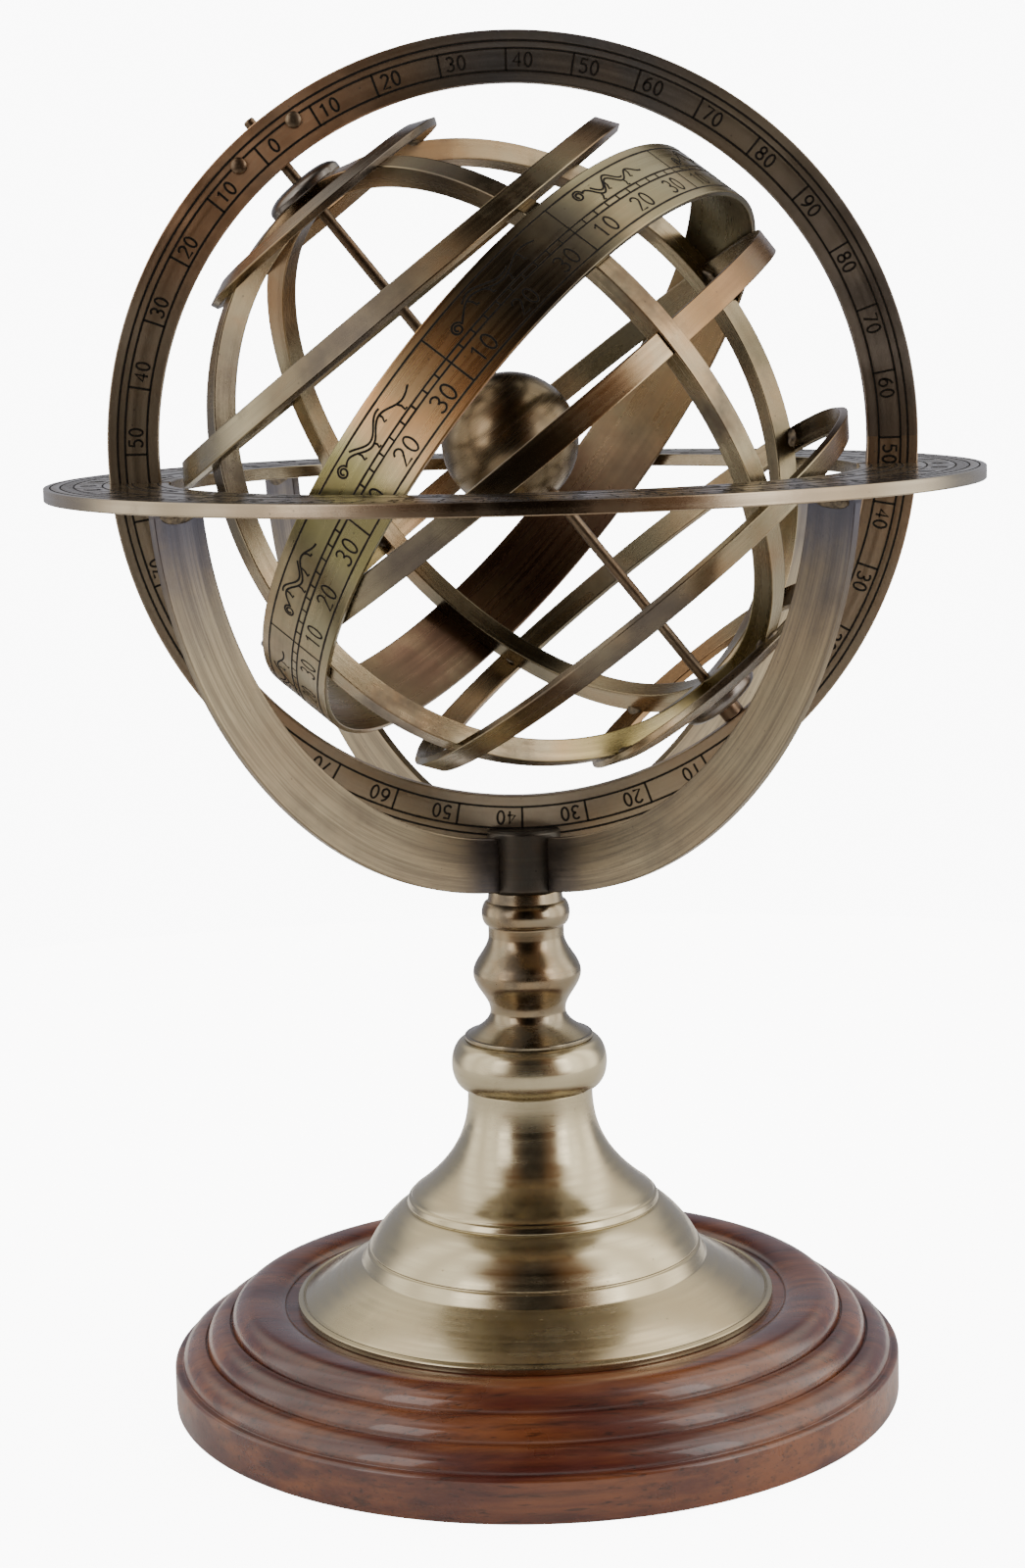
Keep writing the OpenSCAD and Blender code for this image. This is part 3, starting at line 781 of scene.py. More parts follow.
def dress(piece: bpy.types.Object, finish: Finish) -> None:
    """Gives a piece its finish."""
    if finish not in MATERIALS:
        MATERIALS[finish] = finish.value.build()
    piece.data.materials.clear()
    piece.data.materials.append(MATERIALS[finish])


def dress_node(name: str, finish: Finish) -> None:
    """Gives a CAD node its finish through its object's material slots."""
    held = frame["nodes"][name]
    if finish not in MATERIALS:
        MATERIALS[finish] = finish.value.build()
    for slot in held.material_slots:
        slot.link = "OBJECT"
        slot.material = MATERIALS[finish]


def put(piece: bpy.types.Object, body: Body, finish: Finish, slot: str, *nodes: str) -> None:
    """Dresses a piece, makes it ride on a body, and hides the nodes it stands for."""
    dress(piece, finish)
    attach(piece, body.value)
    if nodes:
        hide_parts(*nodes)
    LOG.info("made %s on %s", piece.name, body.value)


# ---------------------------------------------------------------- sub-assemblies


@dataclass
class Pedestal:
    """The wooden base and the brass turnings that stand on it."""

    bead_h: float = 4.1 * MM
    edge_lip: float = 1.7 * MM
    recess_depth: float = 1.7 * MM
    recess_gap: float = 2.5 * MM
    low_band_r: float = 36.6 * MM
    high_band_r: float = 26.6 * MM
    neck_r: float = 13.1 * MM
    wall: float = 3 * MM
    tie_r: float = 3.3 * MM
    flange_r: float = 13.4 * MM
    knop_r: float = 11.3 * MM
    waist_r: float = 7.9 * MM
    counterbore_r: float = 12 * MM
    slot_play: float = 0.15 * MM

    def build(self) -> None:
        """Makes every turning."""
        self.wood()
        self.bell()
        self.collar()
        self.stem()
        self.head()
        dress_node("base_felt", Finish.FELT)
        for hidden in ("base_nut", "base_washer", "tie_rod"):
            dress_node(hidden, Finish.STEEL)

    def wood(self) -> None:
        """Turns the base: a plain edge, three quarter-ellipse beads, a crown and a recess."""
        low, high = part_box("wood_base")
        base_r, foot_low = high[0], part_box("bell_foot")[0][2]
        foot_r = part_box("bell_foot")[1][0]
        felt_r, felt_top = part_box("base_felt")[1][0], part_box("base_felt")[1][2]
        edge_top = foot_low + self.recess_depth - 3 * self.bead_h
        recess_r = foot_r + self.recess_gap
        mould = base_r - self.edge_lip - recess_r
        bead_w, crown_w, groove, depth, soft = 0.24 * mould, 0.28 * mould, 0.5 * MM, 0.6 * MM, 0.8 * MM
        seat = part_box("base_washer")[1][2]
        outline = [[self.tie_r, seat], [self.counterbore_r, seat], [self.counterbore_r, felt_top],
                   [felt_r + 0.2 * MM, felt_top], [felt_r + 0.2 * MM, low[2]]]
        outline += bow(base_r - soft, low[2] + soft, soft, soft, -90, 0, 5)
        outline += bow(base_r - soft, edge_top - soft, soft, soft, 0, 90, 5)
        for bead in range(3):
            inner, foot = base_r - self.edge_lip - (bead + 1) * bead_w, edge_top + bead * self.bead_h
            outline += bow(inner + groove, foot, bead_w - groove, self.bead_h, 0, 90)
            if bead < 2:
                outline.append([inner + groove / 2, foot + self.bead_h - depth])
        outline += bow(recess_r + crown_w, foot_low, -crown_w, self.recess_depth, 90, 0)
        outline += [[self.tie_r, foot_low]]
        put(lathe("turned_base", outline, segments=240), Body.STAND, Finish.WOOD, "mahogany", "wood_base")

    def bell(self) -> None:
        """Turns the bell: rim, straight skirt, low band, crowned shoulder, high band and a neck.

        The neck's radius grows with the power 2.5 of the distance below its top.
        """
        low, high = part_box("bell_foot")
        foot, rim_r, tall = low[2], high[0], high[2] - low[2]
        top = high[2]
        low_z, shoulder_z = foot + 0.19 * tall, foot + 0.262 * tall
        shoulder_h, neck_z = 0.19 * tall, foot + 0.507 * tall
        shoulder_r, high_z = self.high_band_r + 0.4 * MM, shoulder_z + shoulder_h
        rim_h = 1.4 * MM
        t = np.linspace(1, 0, 25)
        neck_foot = self.high_band_r - 1.2 * MM
        neck = np.stack([self.neck_r + (neck_foot - self.neck_r) * t ** 2.5, top - t * (top - neck_z)], 1)
        outside = [[rim_r, foot], [rim_r, foot + rim_h], [rim_r - 1.1 * MM, foot + rim_h + 0.5 * MM],
                   [rim_r - 1.4 * MM, foot + rim_h + 0.1 * MM], [rim_r - 1.8 * MM, foot + rim_h + 0.6 * MM],
                   [self.low_band_r + 0.5 * MM, low_z - 0.3 * MM], [self.low_band_r - 0.1 * MM, low_z],
                   [self.low_band_r - 1.4 * MM, shoulder_z - 0.6 * MM],
                   [self.low_band_r - 1.9 * MM, shoulder_z - 0.4 * MM],
                   *crowned((self.low_band_r - 1.8 * MM, shoulder_z), (shoulder_r, high_z), 0.7 * MM),
                   [self.high_band_r - 0.3 * MM, high_z + 0.2 * MM], [self.high_band_r, high_z + 0.5 * MM],
                   [self.high_band_r - 0.4 * MM, neck_z - 0.8 * MM],
                   [self.high_band_r - 0.9 * MM, neck_z - 0.5 * MM], *neck.tolist()]
        inside = [[self.tie_r, top], [self.tie_r, neck_z + self.wall],
                  [self.neck_r - self.wall, neck_z + self.wall],
                  [shoulder_r - self.wall / 2, high_z - self.wall],
                  [self.low_band_r - 1.5 * self.wall, low_z - self.wall / 2], [rim_r - 2 * self.wall, foot]]
        put(lathe("turned_bell", outside + inside, segments=240), Body.STAND, Finish.TURNED,
            "turned_brass", "bell_foot")

    def collar(self) -> None:
        """Turns the collar: half an ellipse, with a plain bore."""
        low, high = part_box("collar")
        end_r = self.neck_r + 0.2 * MM
        half = (high[2] - low[2]) / 2
        outside = bow(end_r, low[2] + half, high[0] - end_r, half, -90, 90, 28)
        put(lathe("turned_collar", bore_outline(outside, self.tie_r)), Body.STAND, Finish.TURNED,
            "turned_brass", "collar")

    def stem(self) -> None:
        """Turns the stem: flange, flare, knop and ring.

        The knop's radius swells with the square of a half sine, and the flare's with the square
        of the distance above its waist.
        """
        low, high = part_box("stem")
        foot, tall, flange_t = low[2], high[2] - low[2], 0.9 * MM
        flare_z, knop_h = foot + 0.19 * tall, 0.506 * tall
        ring_z, ring_h = foot + 0.763 * tall, 0.164 * tall
        t = np.linspace(1, 0, 13)
        flare = np.stack([self.waist_r + (self.flange_r - 0.5 * MM - self.waist_r) * t * t,
                          flare_z - t * (flare_z - foot - flange_t)], 1)
        s = np.linspace(0, 1, 33)[1:]
        knop = np.stack([self.waist_r + (self.knop_r - self.waist_r) * np.sin(np.pi * s) ** 2,
                         flare_z + knop_h * s], 1)
        outside = [[self.flange_r, foot], [self.flange_r, foot + flange_t], *flare.tolist(), *knop.tolist(),
                   *bow(self.waist_r, ring_z + ring_h / 2, 1.3 * MM, ring_h / 2, -90, 90),
                   [self.waist_r - 0.3 * MM, high[2]]]
        put(lathe("turned_stem", bore_outline(outside, self.tie_r)), Body.STAND, Finish.STEM,
            "turned_brass", "stem")

    def head(self) -> None:
        """Turns the head and cuts the slot that the meridian ring sits in."""
        low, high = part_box("cradle_head")
        ring_low, ring_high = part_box("meridian_ring")
        radius, edge, drill = high[0], 0.6 * MM, 3 * MM
        top_of_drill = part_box("tie_rod")[1][2]
        outline = [[drill, low[2]], [radius - edge, low[2]], [radius, low[2] + edge],
                   [radius, high[2] - edge],
                   [radius - edge, high[2]], [0.05 * MM, high[2]], [0.05 * MM, top_of_drill + 0.05 * MM],
                   [drill, top_of_drill + 0.05 * MM]]
        head = lathe("slotted_head", outline, segments=96)
        slot = lathe("slot_cutter", box_outline(0.06 * MM, ring_high[0] + 0.1 * MM,
                                                -ring_high[1] - self.slot_play,
                                                -ring_low[1] + self.slot_play),
                     frame_matrix((0, 0, CENTRE_Z), Vector((0, -1, 0)), Vector((1, 0, 0))), 360)
        cut_away(head, slot)
        put(head, Body.STAND, Finish.HEAD, "turned_brass", "cradle_head")


@dataclass
class Cradle:
    """The four flat arms and the engraved horizon ring that they carry."""

    arm_turns: tuple = (("arm_front_right", 311.5), ("arm_front_left", 221.5),
                        ("arm_back_left", 126.5), ("arm_back_right", 41.0))
    arm_w: float = 11.3 * MM
    arm_t: float = 1.8 * MM
    root_r: float = 5.6 * MM
    inner_r: float = 70 * MM
    notch_r: float = 82.6 * MM
    slot_play: float = 0.15 * MM
    line_w: float = 0.32 * MM

    def build(self) -> None:
        """Makes the arms, the ring and its figures."""
        for name, turn in self.arm_turns:
            self.arm(name, math.radians(turn))
        self.ring()
        self.figures()
        self.solder()

    def arm(self, name: str, turn: float) -> None:
        """Bends one arm: a flat quarter ring in an upright plane.

        Its foot ends where its distance from the pedestal's axis is the root radius, and its top
        ends level, under the horizon ring.
        """
        low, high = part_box(name)
        outer = CENTRE_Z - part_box("cradle_head")[0][2]
        drop = CENTRE_Z - high[2]
        way = Vector((math.cos(turn), math.sin(turn), 0))
        matrix = frame_matrix((0, 0, CENTRE_Z), way.cross(Vector((0, 0, 1))), way)
        piece = plate_arc(f"bent_{name}", outer - self.arm_w, outer, -self.arm_t / 2, self.arm_t / 2, matrix,
                          lambda r: -np.arccos(self.root_r / r), lambda r: -np.arcsin(drop / r), 120)
        put(piece, Body.STAND, Finish.ARM, "strip_brass", name)

    def ring(self) -> None:
        """Turns the horizon ring and cuts its two notches for the meridian ring."""
        low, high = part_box("horizon_ring")
        ring_low, ring_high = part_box("meridian_ring")
        ring = lathe("horizon_plate", box_outline(self.inner_r, high[0], low[2], high[2]), segments=360)
        cutter = lathe("notch_cutter", box_outline(0.06 * MM, self.notch_r, -ring_high[1] - self.slot_play,
                                                   -ring_low[1] + self.slot_play),
                       frame_matrix((0, 0, CENTRE_Z), Vector((0, -1, 0)), Vector((1, 0, 0))), 360)
        cut_away(ring, cutter)
        put(ring, Body.STAND, Finish.HORIZON, "engraved_bright", "horizon_ring")

    def figures(self) -> None:
        """Engraves the horizon's top: circles, a ruled edge, and numbered sectors of ten degrees."""
        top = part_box("horizon_ring")[1][2]
        gap = 2.6
        strokes = [ring_line(r * MM) for r in (93.6, 91.6, 88.9, 83.2)]
        for r in (78.4, 77.2, 72.2):
            strokes += [ring_line(r * MM, gap, 180 - gap), ring_line(r * MM, 180 + gap, 360 - gap)]
        strokes += [radial(math.radians(a), 88.9 * MM, 91.6 * MM) for a in np.arange(0, 360, 2.5)]
        strokes += [radial(math.radians(a), 83.2 * MM, 88.9 * MM) for a in range(0, 360, 10)]
        fine = []
        for step in range(36):
            angle = math.radians(step * 10 + 5)
            value = 10 * (step % 9 + 1)
            centre = np.array([math.cos(angle), math.sin(angle)])
            fine += turned(number(value, 3.2 * MM), angle + math.pi / 2, centre * 86 * MM)
            if step % 18 not in (0, 17):
                fine += self.flourish(angle, step)
        for step in range(12):
            angle = math.radians(step * 30 + 15)
            centre = np.array([math.cos(angle), math.sin(angle)])
            fine += turned(number(step + 1, 3.0 * MM), angle + math.pi / 2, centre * 80.8 * MM)
        wrap = flat_wrap(np.eye(4), top)
        put(engraving("horizon_lines", strokes, self.line_w, 0.03 * MM, wrap), Body.STAND, Finish.INLAY,
            "engraved_bright")
        put(engraving("horizon_numbers", fine, self.line_w * 0.9, 0.03 * MM, wrap), Body.STAND, Finish.INLAY,
            "engraved_bright")

    def solder(self) -> None:
        """Lays solder where each arm meets the horizon ring, and on both sides of its foot."""
        source = np.random.default_rng(8)
        up = Vector((0, 0, 1))
        outer = CENTRE_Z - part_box("cradle_head")[0][2]
        head_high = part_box("cradle_head")[1][2]
        for name, degrees in self.arm_turns:
            turn, top = math.radians(degrees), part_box(name)[1][2]
            way = Vector((math.cos(turn), math.sin(turn), 0))
            across = way.cross(up)
            for side in (-1, 1):
                joint = way * (outer - self.arm_w / 2) + across * side * (self.arm_t / 2 - 0.1 * MM)
                bead = solder_bead(f"solder_top_{name}_{'ab'[side > 0]}", joint + up * (top - 0.6 * MM),
                                   across * side, way, (4.2, 1.7, 0.55), source)
                put(bead, Body.STAND, Finish.SOLDER, "strip_brass")
                joint = way * (self.root_r + 1.2 * MM) + across * side * (self.arm_t / 2 - 0.1 * MM)
                bead = solder_bead(f"solder_foot_{name}_{'ab'[side > 0]}", joint + up * (head_high - 6 * MM),
                                   across * side, up, (4.6, 1.3, 0.6), source)
                put(bead, Body.STAND, Finish.SOLDER, "strip_brass")

    @staticmethod
    def flourish(angle: float, step: int) -> list[np.ndarray]:
        """Returns a small scroll for the inner lane: a wave with a loop at one end."""
        x = np.linspace(-3.6, 3.6, 15)
        wave = np.stack([x, 0.9 * np.sin(x * 1.7 + step)], 1) * MM
        loop = arc(3.6 * MM, 0, 0.8 * MM, 0.8 * MM, 0, 360, 8)
        middle = np.array([math.cos(angle), math.sin(angle)]) * 74.7 * MM
        return turned([wave, loop], angle + math.pi / 2, middle)


@dataclass
class Meridian:
    """The upright engraved ring, with the rod, clamps, rivets and ball that it carries."""

    width: float = 10.3 * MM
    clamp_half: float = math.radians(9)
    clamp_margin: float = 0.8 * MM
    rivet_r: float = 1 * MM
    rivet_turn: float = math.radians(5.2)
    first_tick: float = 129.8
    line_w: float = 0.34 * MM

    def __post_init__(self) -> None:
        """Works out the frames: upright, with Z to the front, and along the polar axis."""
        self.low, self.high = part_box("meridian_ring")
        self.outer = self.high[0]
        self.inner = self.outer - self.width
        self.thick = -self.low[1]
        self.upright = frame_matrix((0, 0, CENTRE_Z), Vector((0, -1, 0)), Vector((1, 0, 0)))
        self.polar = frame_matrix((0, 0, CENTRE_Z), POLE, Vector((0, 1, 0)).cross(POLE))
        self.rod_r = (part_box("axis_rod")[1][1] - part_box("axis_rod")[0][1]) / 2
        self.pole_angle = math.atan2(POLE[2], POLE[0])

    def build(self) -> None:
        """Makes every piece."""
        ring = lathe("meridian_plate", box_outline(self.inner, self.outer, 0, self.thick), self.upright, 360)
        put(ring, Body.MERIDIAN, Finish.MERIDIAN, "engraved_dark", "meridian_ring")
        self.figures()
        self.axle()
        self.clamps()
        self.rivets()
        self.ball()

    def figures(self) -> None:
        """Engraves circles, a tick every ten degrees and its distance from the nearer pole."""
        circles = [ring_line(r * MM) for r in (80.0, 78.5, 74.1)]
        front = list(circles)
        for step in range(36):
            angle = math.radians(self.first_tick - 10 * step)
            front.append(radial(angle, 74.1 * MM, 78.5 * MM))
            value = min(10 * (step % 18), 180 - 10 * (step % 18))
            beside = angle - math.radians(2.5)
            middle = np.array([math.cos(beside), math.sin(beside)]) * 76.3 * MM
            front += turned(number(value, 2.7 * MM), beside - math.pi / 2, middle)
        put(engraving("meridian_figures", front, self.line_w, 0.035 * MM,
                      flat_wrap(self.upright, self.thick)),
            Body.MERIDIAN, Finish.INLAY, "engraved_dark")
        put(engraving("meridian_figure_lips", front, self.line_w + 0.16 * MM, 0.018 * MM,
                      flat_wrap(self.upright, self.thick)), Body.MERIDIAN, Finish.LIP, "engraved_dark")
        put(engraving("meridian_back_lines", circles, self.line_w, 0.03 * MM,
                      flat_wrap(self.upright, 0, True)), Body.MERIDIAN, Finish.INLAY, "engraved_dark")

    def axle(self) -> None:
        """Turns the rod with rounded ends, and the thrust collar under the cage."""
        low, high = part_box("axis_rod")
        reach = (high[2] - CENTRE_Z - self.rod_r * abs(POLE[0])) / POLE[2]
        soft = 0.5 * MM
        outside = [[self.rod_r - soft, -reach], *bow(self.rod_r - soft, -reach + soft, soft, soft, -90, 0, 5),
                   *bow(self.rod_r - soft, reach - soft, soft, soft, 0, 90, 5)]
        outline = [[0.02 * MM, -reach], *outside[1:], [0.02 * MM, reach]]
        put(lathe("turned_axis_rod", outline, self.polar, 64), Body.MERIDIAN, Finish.RIVET, "strip_brass",
            "axis_rod")
        cage_top = 69.15 * MM
        sleeve = box_outline(self.rod_r, 2 * self.rod_r, -self.inner + 0.1 * MM, -cage_top)
        put(lathe("turned_thrust_collar", sleeve, self.polar, 64), Body.MERIDIAN, Finish.RIVET,
            "turned_brass", "thrust_collar")

    def clamps(self) -> None:
        """Bends the two curved plates behind the ring that hold the rod's ends."""
        back = -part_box("axis_clamp_north")[1][1]
        for name, centre in (("north", self.pole_angle), ("south", self.pole_angle + math.pi)):
            piece = plate_arc(f"clamp_plate_{name}", self.inner + self.clamp_margin,
                              self.outer - self.clamp_margin,
                              back, -0.01 * MM, self.upright,
                              lambda r, c=centre: c - self.clamp_half + 0 * r,
                              lambda r, c=centre: c + self.clamp_half + 0 * r, 24)
            put(piece, Body.MERIDIAN, Finish.MERIDIAN, "engraved_dark", f"axis_clamp_{name}")

    def rivets(self) -> None:
        """Turns four rivets with domed heads, two at each pole, as four pieces."""
        back = -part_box("axis_clamp_north")[1][1]
        dome_r, dome_h = 1.7 * self.rivet_r, 0.8 * self.rivet_r
        outline = [[0.02 * MM, back - dome_h], *bow(0.02 * MM, back, dome_r, dome_h, -90, 0, 8)[1:],
                   [self.rivet_r, back], [self.rivet_r, self.thick],
                   *bow(0.02 * MM, self.thick, dome_r, dome_h, 0, 90, 8)]
        reach = self.outer - 0.4 * self.width
        for pole, centre in (("north", self.pole_angle), ("south", self.pole_angle + math.pi)):
            for side, turn in (("a", -self.rivet_turn), ("b", self.rivet_turn)):
                spot = self.upright.copy()
                away = (self.upright[:3, 0] * math.cos(centre + turn)
                        + self.upright[:3, 1] * math.sin(centre + turn))
                spot[:3, 3] += away * reach
                piece = lathe(f"rivet_{pole}_{side}", outline, spot, 32)
                put(piece, Body.MERIDIAN, Finish.RIVET, "turned_brass", "axis_rivets")

    def ball(self) -> None:
        """Turns the ball round the rod: a circle that starts and ends at the bore."""
        low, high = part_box("earth_ball")
        radius = 14 * MM
        north = float(np.dot((np.array(low) + np.array(high)) / 2 - np.array((0, 0, CENTRE_Z)), POLE))
        bore = math.degrees(math.asin(self.rod_r / radius))
        outline = bow(0, north, radius, radius, -90 + bore, 90 - bore, 72)
        put(lathe("turned_ball", outline, self.polar, 144), Body.MERIDIAN, Finish.BALL, "ball_bronze",
            "earth_ball")


@dataclass
class Cage:
    """The rings that turn together on the polar axis."""

    turn: float = math.radians(-147)
    south: float = 0.5 * MM
    radius: float = 66 * MM
    bar_w: float = 4.6 * MM
    bar_t: float = 4.2 * MM
    strip_w: float = 5.2 * MM
    strip_t: float = 1.6 * MM
    seat: float = 0.15 * MM
    sink: float = 0.6 * MM
    tropic: float = 34.8
    polar: float = 66.5
    band_w: float = 16.5 * MM
    band_t: float = 1.2 * MM
    ecliptic: float = math.radians(23.5)
    line_w: float = 0.34 * MM

    def __post_init__(self) -> None:
        """Works out the cage's frames.

        X points to the rising node of the zodiac band, and Z to the north pole.
        """
        east = Vector((0, 1, 0)).cross(POLE)
        side = POLE.cross(east)
        node_way = east * math.cos(self.turn) + side * math.sin(self.turn)
        origin = Vector((0, 0, CENTRE_Z)) - POLE * self.south
        self.main = frame_matrix(origin, POLE, node_way)
        tilt = Matrix.Rotation(self.ecliptic, 3, node_way)
        self.band = frame_matrix(origin, tilt @ POLE, node_way)
        cross = POLE.cross(node_way)
        self.standing = (frame_matrix(origin, -cross, node_way), frame_matrix(origin, node_way, cross))

    def build(self) -> None:
        """Makes every ring, hub, figure and solder joint."""
        self.colures()
        self.strips()
        self.zodiac()
        self.hubs()
        self.solder()

    def colures(self) -> None:
        """Bends the two square bars that cross at the poles."""
        half = self.bar_t / 2
        for name, matrix in zip(("colure_equinox", "colure_solstice"), self.standing):
            outline = box_outline(self.radius - self.bar_w, self.radius, -half, half)
            put(lathe(f"bent_{name}", outline, matrix, 300), Body.CAGE, Finish.BAR, "bar_brass", name)

    def strips(self) -> None:
        """Bends the equator, and the tropic and polar rings, which lie on the sphere like hoops."""
        outer = self.radius - self.sink
        hoop = box_outline(outer - self.strip_t, outer, -self.strip_w / 2, self.strip_w / 2)
        put(lathe("bent_equator", hoop, self.main, 300), Body.CAGE, Finish.BAR, "bar_brass", "equator_ring")
        for name, lat in (("cancer_ring", self.tropic), ("capricorn_ring", -self.tropic),
                          ("arctic_ring", self.polar), ("antarctic_ring", -self.polar)):
            out = np.array([math.cos(math.radians(lat)), math.sin(math.radians(lat))])
            along = np.array([-out[1], out[0]])
            inner = self.radius - self.seat
            outline = [(inner + a * self.strip_t) * out + b * self.strip_w / 2 * along
                       for a, b in ((0, -1), (1, -1), (1, 1), (0, 1))]
            put(lathe(f"bent_{name}", outline, self.main, 300), Body.CAGE, Finish.BAR, "bar_brass", name)

    def zodiac(self) -> None:
        """Bends the zodiac band and engraves its outside."""
        inner = self.radius - self.seat
        hoop = box_outline(inner, inner + self.band_t, -self.band_w / 2, self.band_w / 2)
        put(lathe("bent_zodiac_band", hoop, self.band, 360), Body.CAGE, Finish.BAND, "band_bronze",
            "zodiac_band")
        outer = inner + self.band_t
        wrap = drum_wrap(self.band, outer)
        strokes = self.band_lines(outer)
        figures = self.band_figures(outer)
        put(engraving("zodiac_lines", strokes, self.line_w, 0.035 * MM, wrap), Body.CAGE, Finish.INLAY,
            "band_bronze")
        put(engraving("zodiac_figures", figures, self.line_w * 1.1, 0.035 * MM, wrap), Body.CAGE,
            Finish.INLAY,
            "band_bronze")
        put(engraving("zodiac_figure_lips", figures + strokes, self.line_w + 0.16 * MM, 0.018 * MM, wrap),
            Body.CAGE, Finish.LIP, "band_bronze")

    def band_lines(self, outer: float) -> list[np.ndarray]:
        """Returns the band's borders, its ruled double line and the twelve dividers."""
        degree = outer * math.pi / 180
        edge, scale_low, scale_high = self.band_w / 2 - 1.9 * MM, -0.9 * MM, 0.4 * MM
        strokes = []
        for start in range(0, 360, 30):
            x = np.linspace(start, start + 30, 25) * degree
            strokes += [np.stack([x, np.full_like(x, y)], 1) for y in (edge, scale_high, scale_low, -edge)]
            strokes.append(line((start * degree, -edge), (start * degree, edge)))
        strokes += [line((a * degree, scale_low), (a * degree, scale_high))
                    for a in range(3, 360, 3) if a % 30]
        return strokes

    def band_figures(self, outer: float) -> list[np.ndarray]:
        """Returns three numbers for each sector, and a small creature of curls above them.

        Each creature is a wave whose height fades towards its tail, with a curl for a head and
        short legs under it, and its numbers are drawn from a seeded source.
        """
        degree = outer * math.pi / 180
        source = np.random.default_rng(12)
        name_lane, picture_lane = -3.75 * MM, 3.3 * MM
        strokes = []
        for start in range(0, 360, 30):
            for third in (1, 2, 3):
                spot = ((start - 5 + 10 * third) * degree, name_lane)
                strokes += turned(number(10 * third, 3.5 * MM), 0, spot)
            middle = np.array([(start + 15) * degree, picture_lane])
            long, phase, bends = 8 + 3 * source.random(), 6.28 * source.random(), 1.5 + 1.5 * source.random()
            t = np.linspace(0, 1, 34)
            wave = np.stack([(t - 0.5) * 2 * long,
                             1.5 * (1 - 0.5 * t) * np.sin(2 * np.pi * bends * t + phase)], 1)
            strokes.append(wave * MM + middle)
            twin = wave[4:22] + np.array([0.3, 0.85])
            strokes.append(twin * MM + middle)
            turn = np.linspace(0, 3.4 * np.pi, 26)
            curl = np.stack([np.cos(turn), np.sin(turn)], 1) * (1.35 - 0.09 * turn)[:, None]
            strokes.append((curl + wave[0] + np.array([-1.2, 0])) * MM + middle)
            for leg in (6, 12, 20, 26):
                lean = source.uniform(-0.8, 0.8)
                foot = wave[leg] + np.array([lean, -1.5 - 0.6 * source.random()])
                foot[1] = max(foot[1], -2.4)
                strokes.append(np.stack([wave[leg], (wave[leg] + foot) / 2 + [0.25, 0], foot,
                                         foot + [0.6, -0.1]]) * MM + middle)
        return strokes

    def hubs(self) -> None:
        """Turns the two domed hubs that run on the rod."""
        rod_r = (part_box("axis_rod")[1][1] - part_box("axis_rod")[0][1]) / 2
        bore, flange, top, tall, rim = rod_r + 0.08 * MM, 8.5 * MM, 3.2 * MM, 2.6 * MM, 0.4 * MM
        for name, sign in (("hub_north", 1), ("hub_south", -1)):
            dome = bow(top, self.radius + rim, flange - top, tall - rim, 0, 90, 18)
            outline = np.array([[bore, self.radius - 0.6 * MM], [flange, self.radius - 0.6 * MM], *dome,
                                [bore, self.radius + tall]]) * np.array([1, sign])
            put(lathe(f"turned_{name}", outline, self.main, 96), Body.CAGE, Finish.HUB, "turned_brass", name)

    def solder(self) -> None:
        """Lays a small uneven fillet of solder at each crossing of a ring and a colure."""
        source = np.random.default_rng(5)
        axis = Vector(self.main[:3, 2])
        crossings = [(lat, quarter) for lat in (self.tropic, -self.tropic, self.polar, -self.polar, 0)
                     for quarter in range(4)]
        for count, (lat, quarter) in enumerate(crossings):
            turn = quarter * math.pi / 2
            out = Vector(self.main[:3, 0]) * math.cos(turn) + Vector(self.main[:3, 1]) * math.sin(turn)
            out = out * math.cos(math.radians(lat)) + axis * math.sin(math.radians(lat))
            reach = self.radius - (0.3 * MM if lat else 2.3 * MM)
            bead = solder_bead(f"solder_{count + 1:02d}", Vector(self.main[:3, 3]) + out * reach, out, axis,
                               (2.6, 3.1, 0.95), source)
            put(bead, Body.CAGE, Finish.SOLDER, "bar_brass")


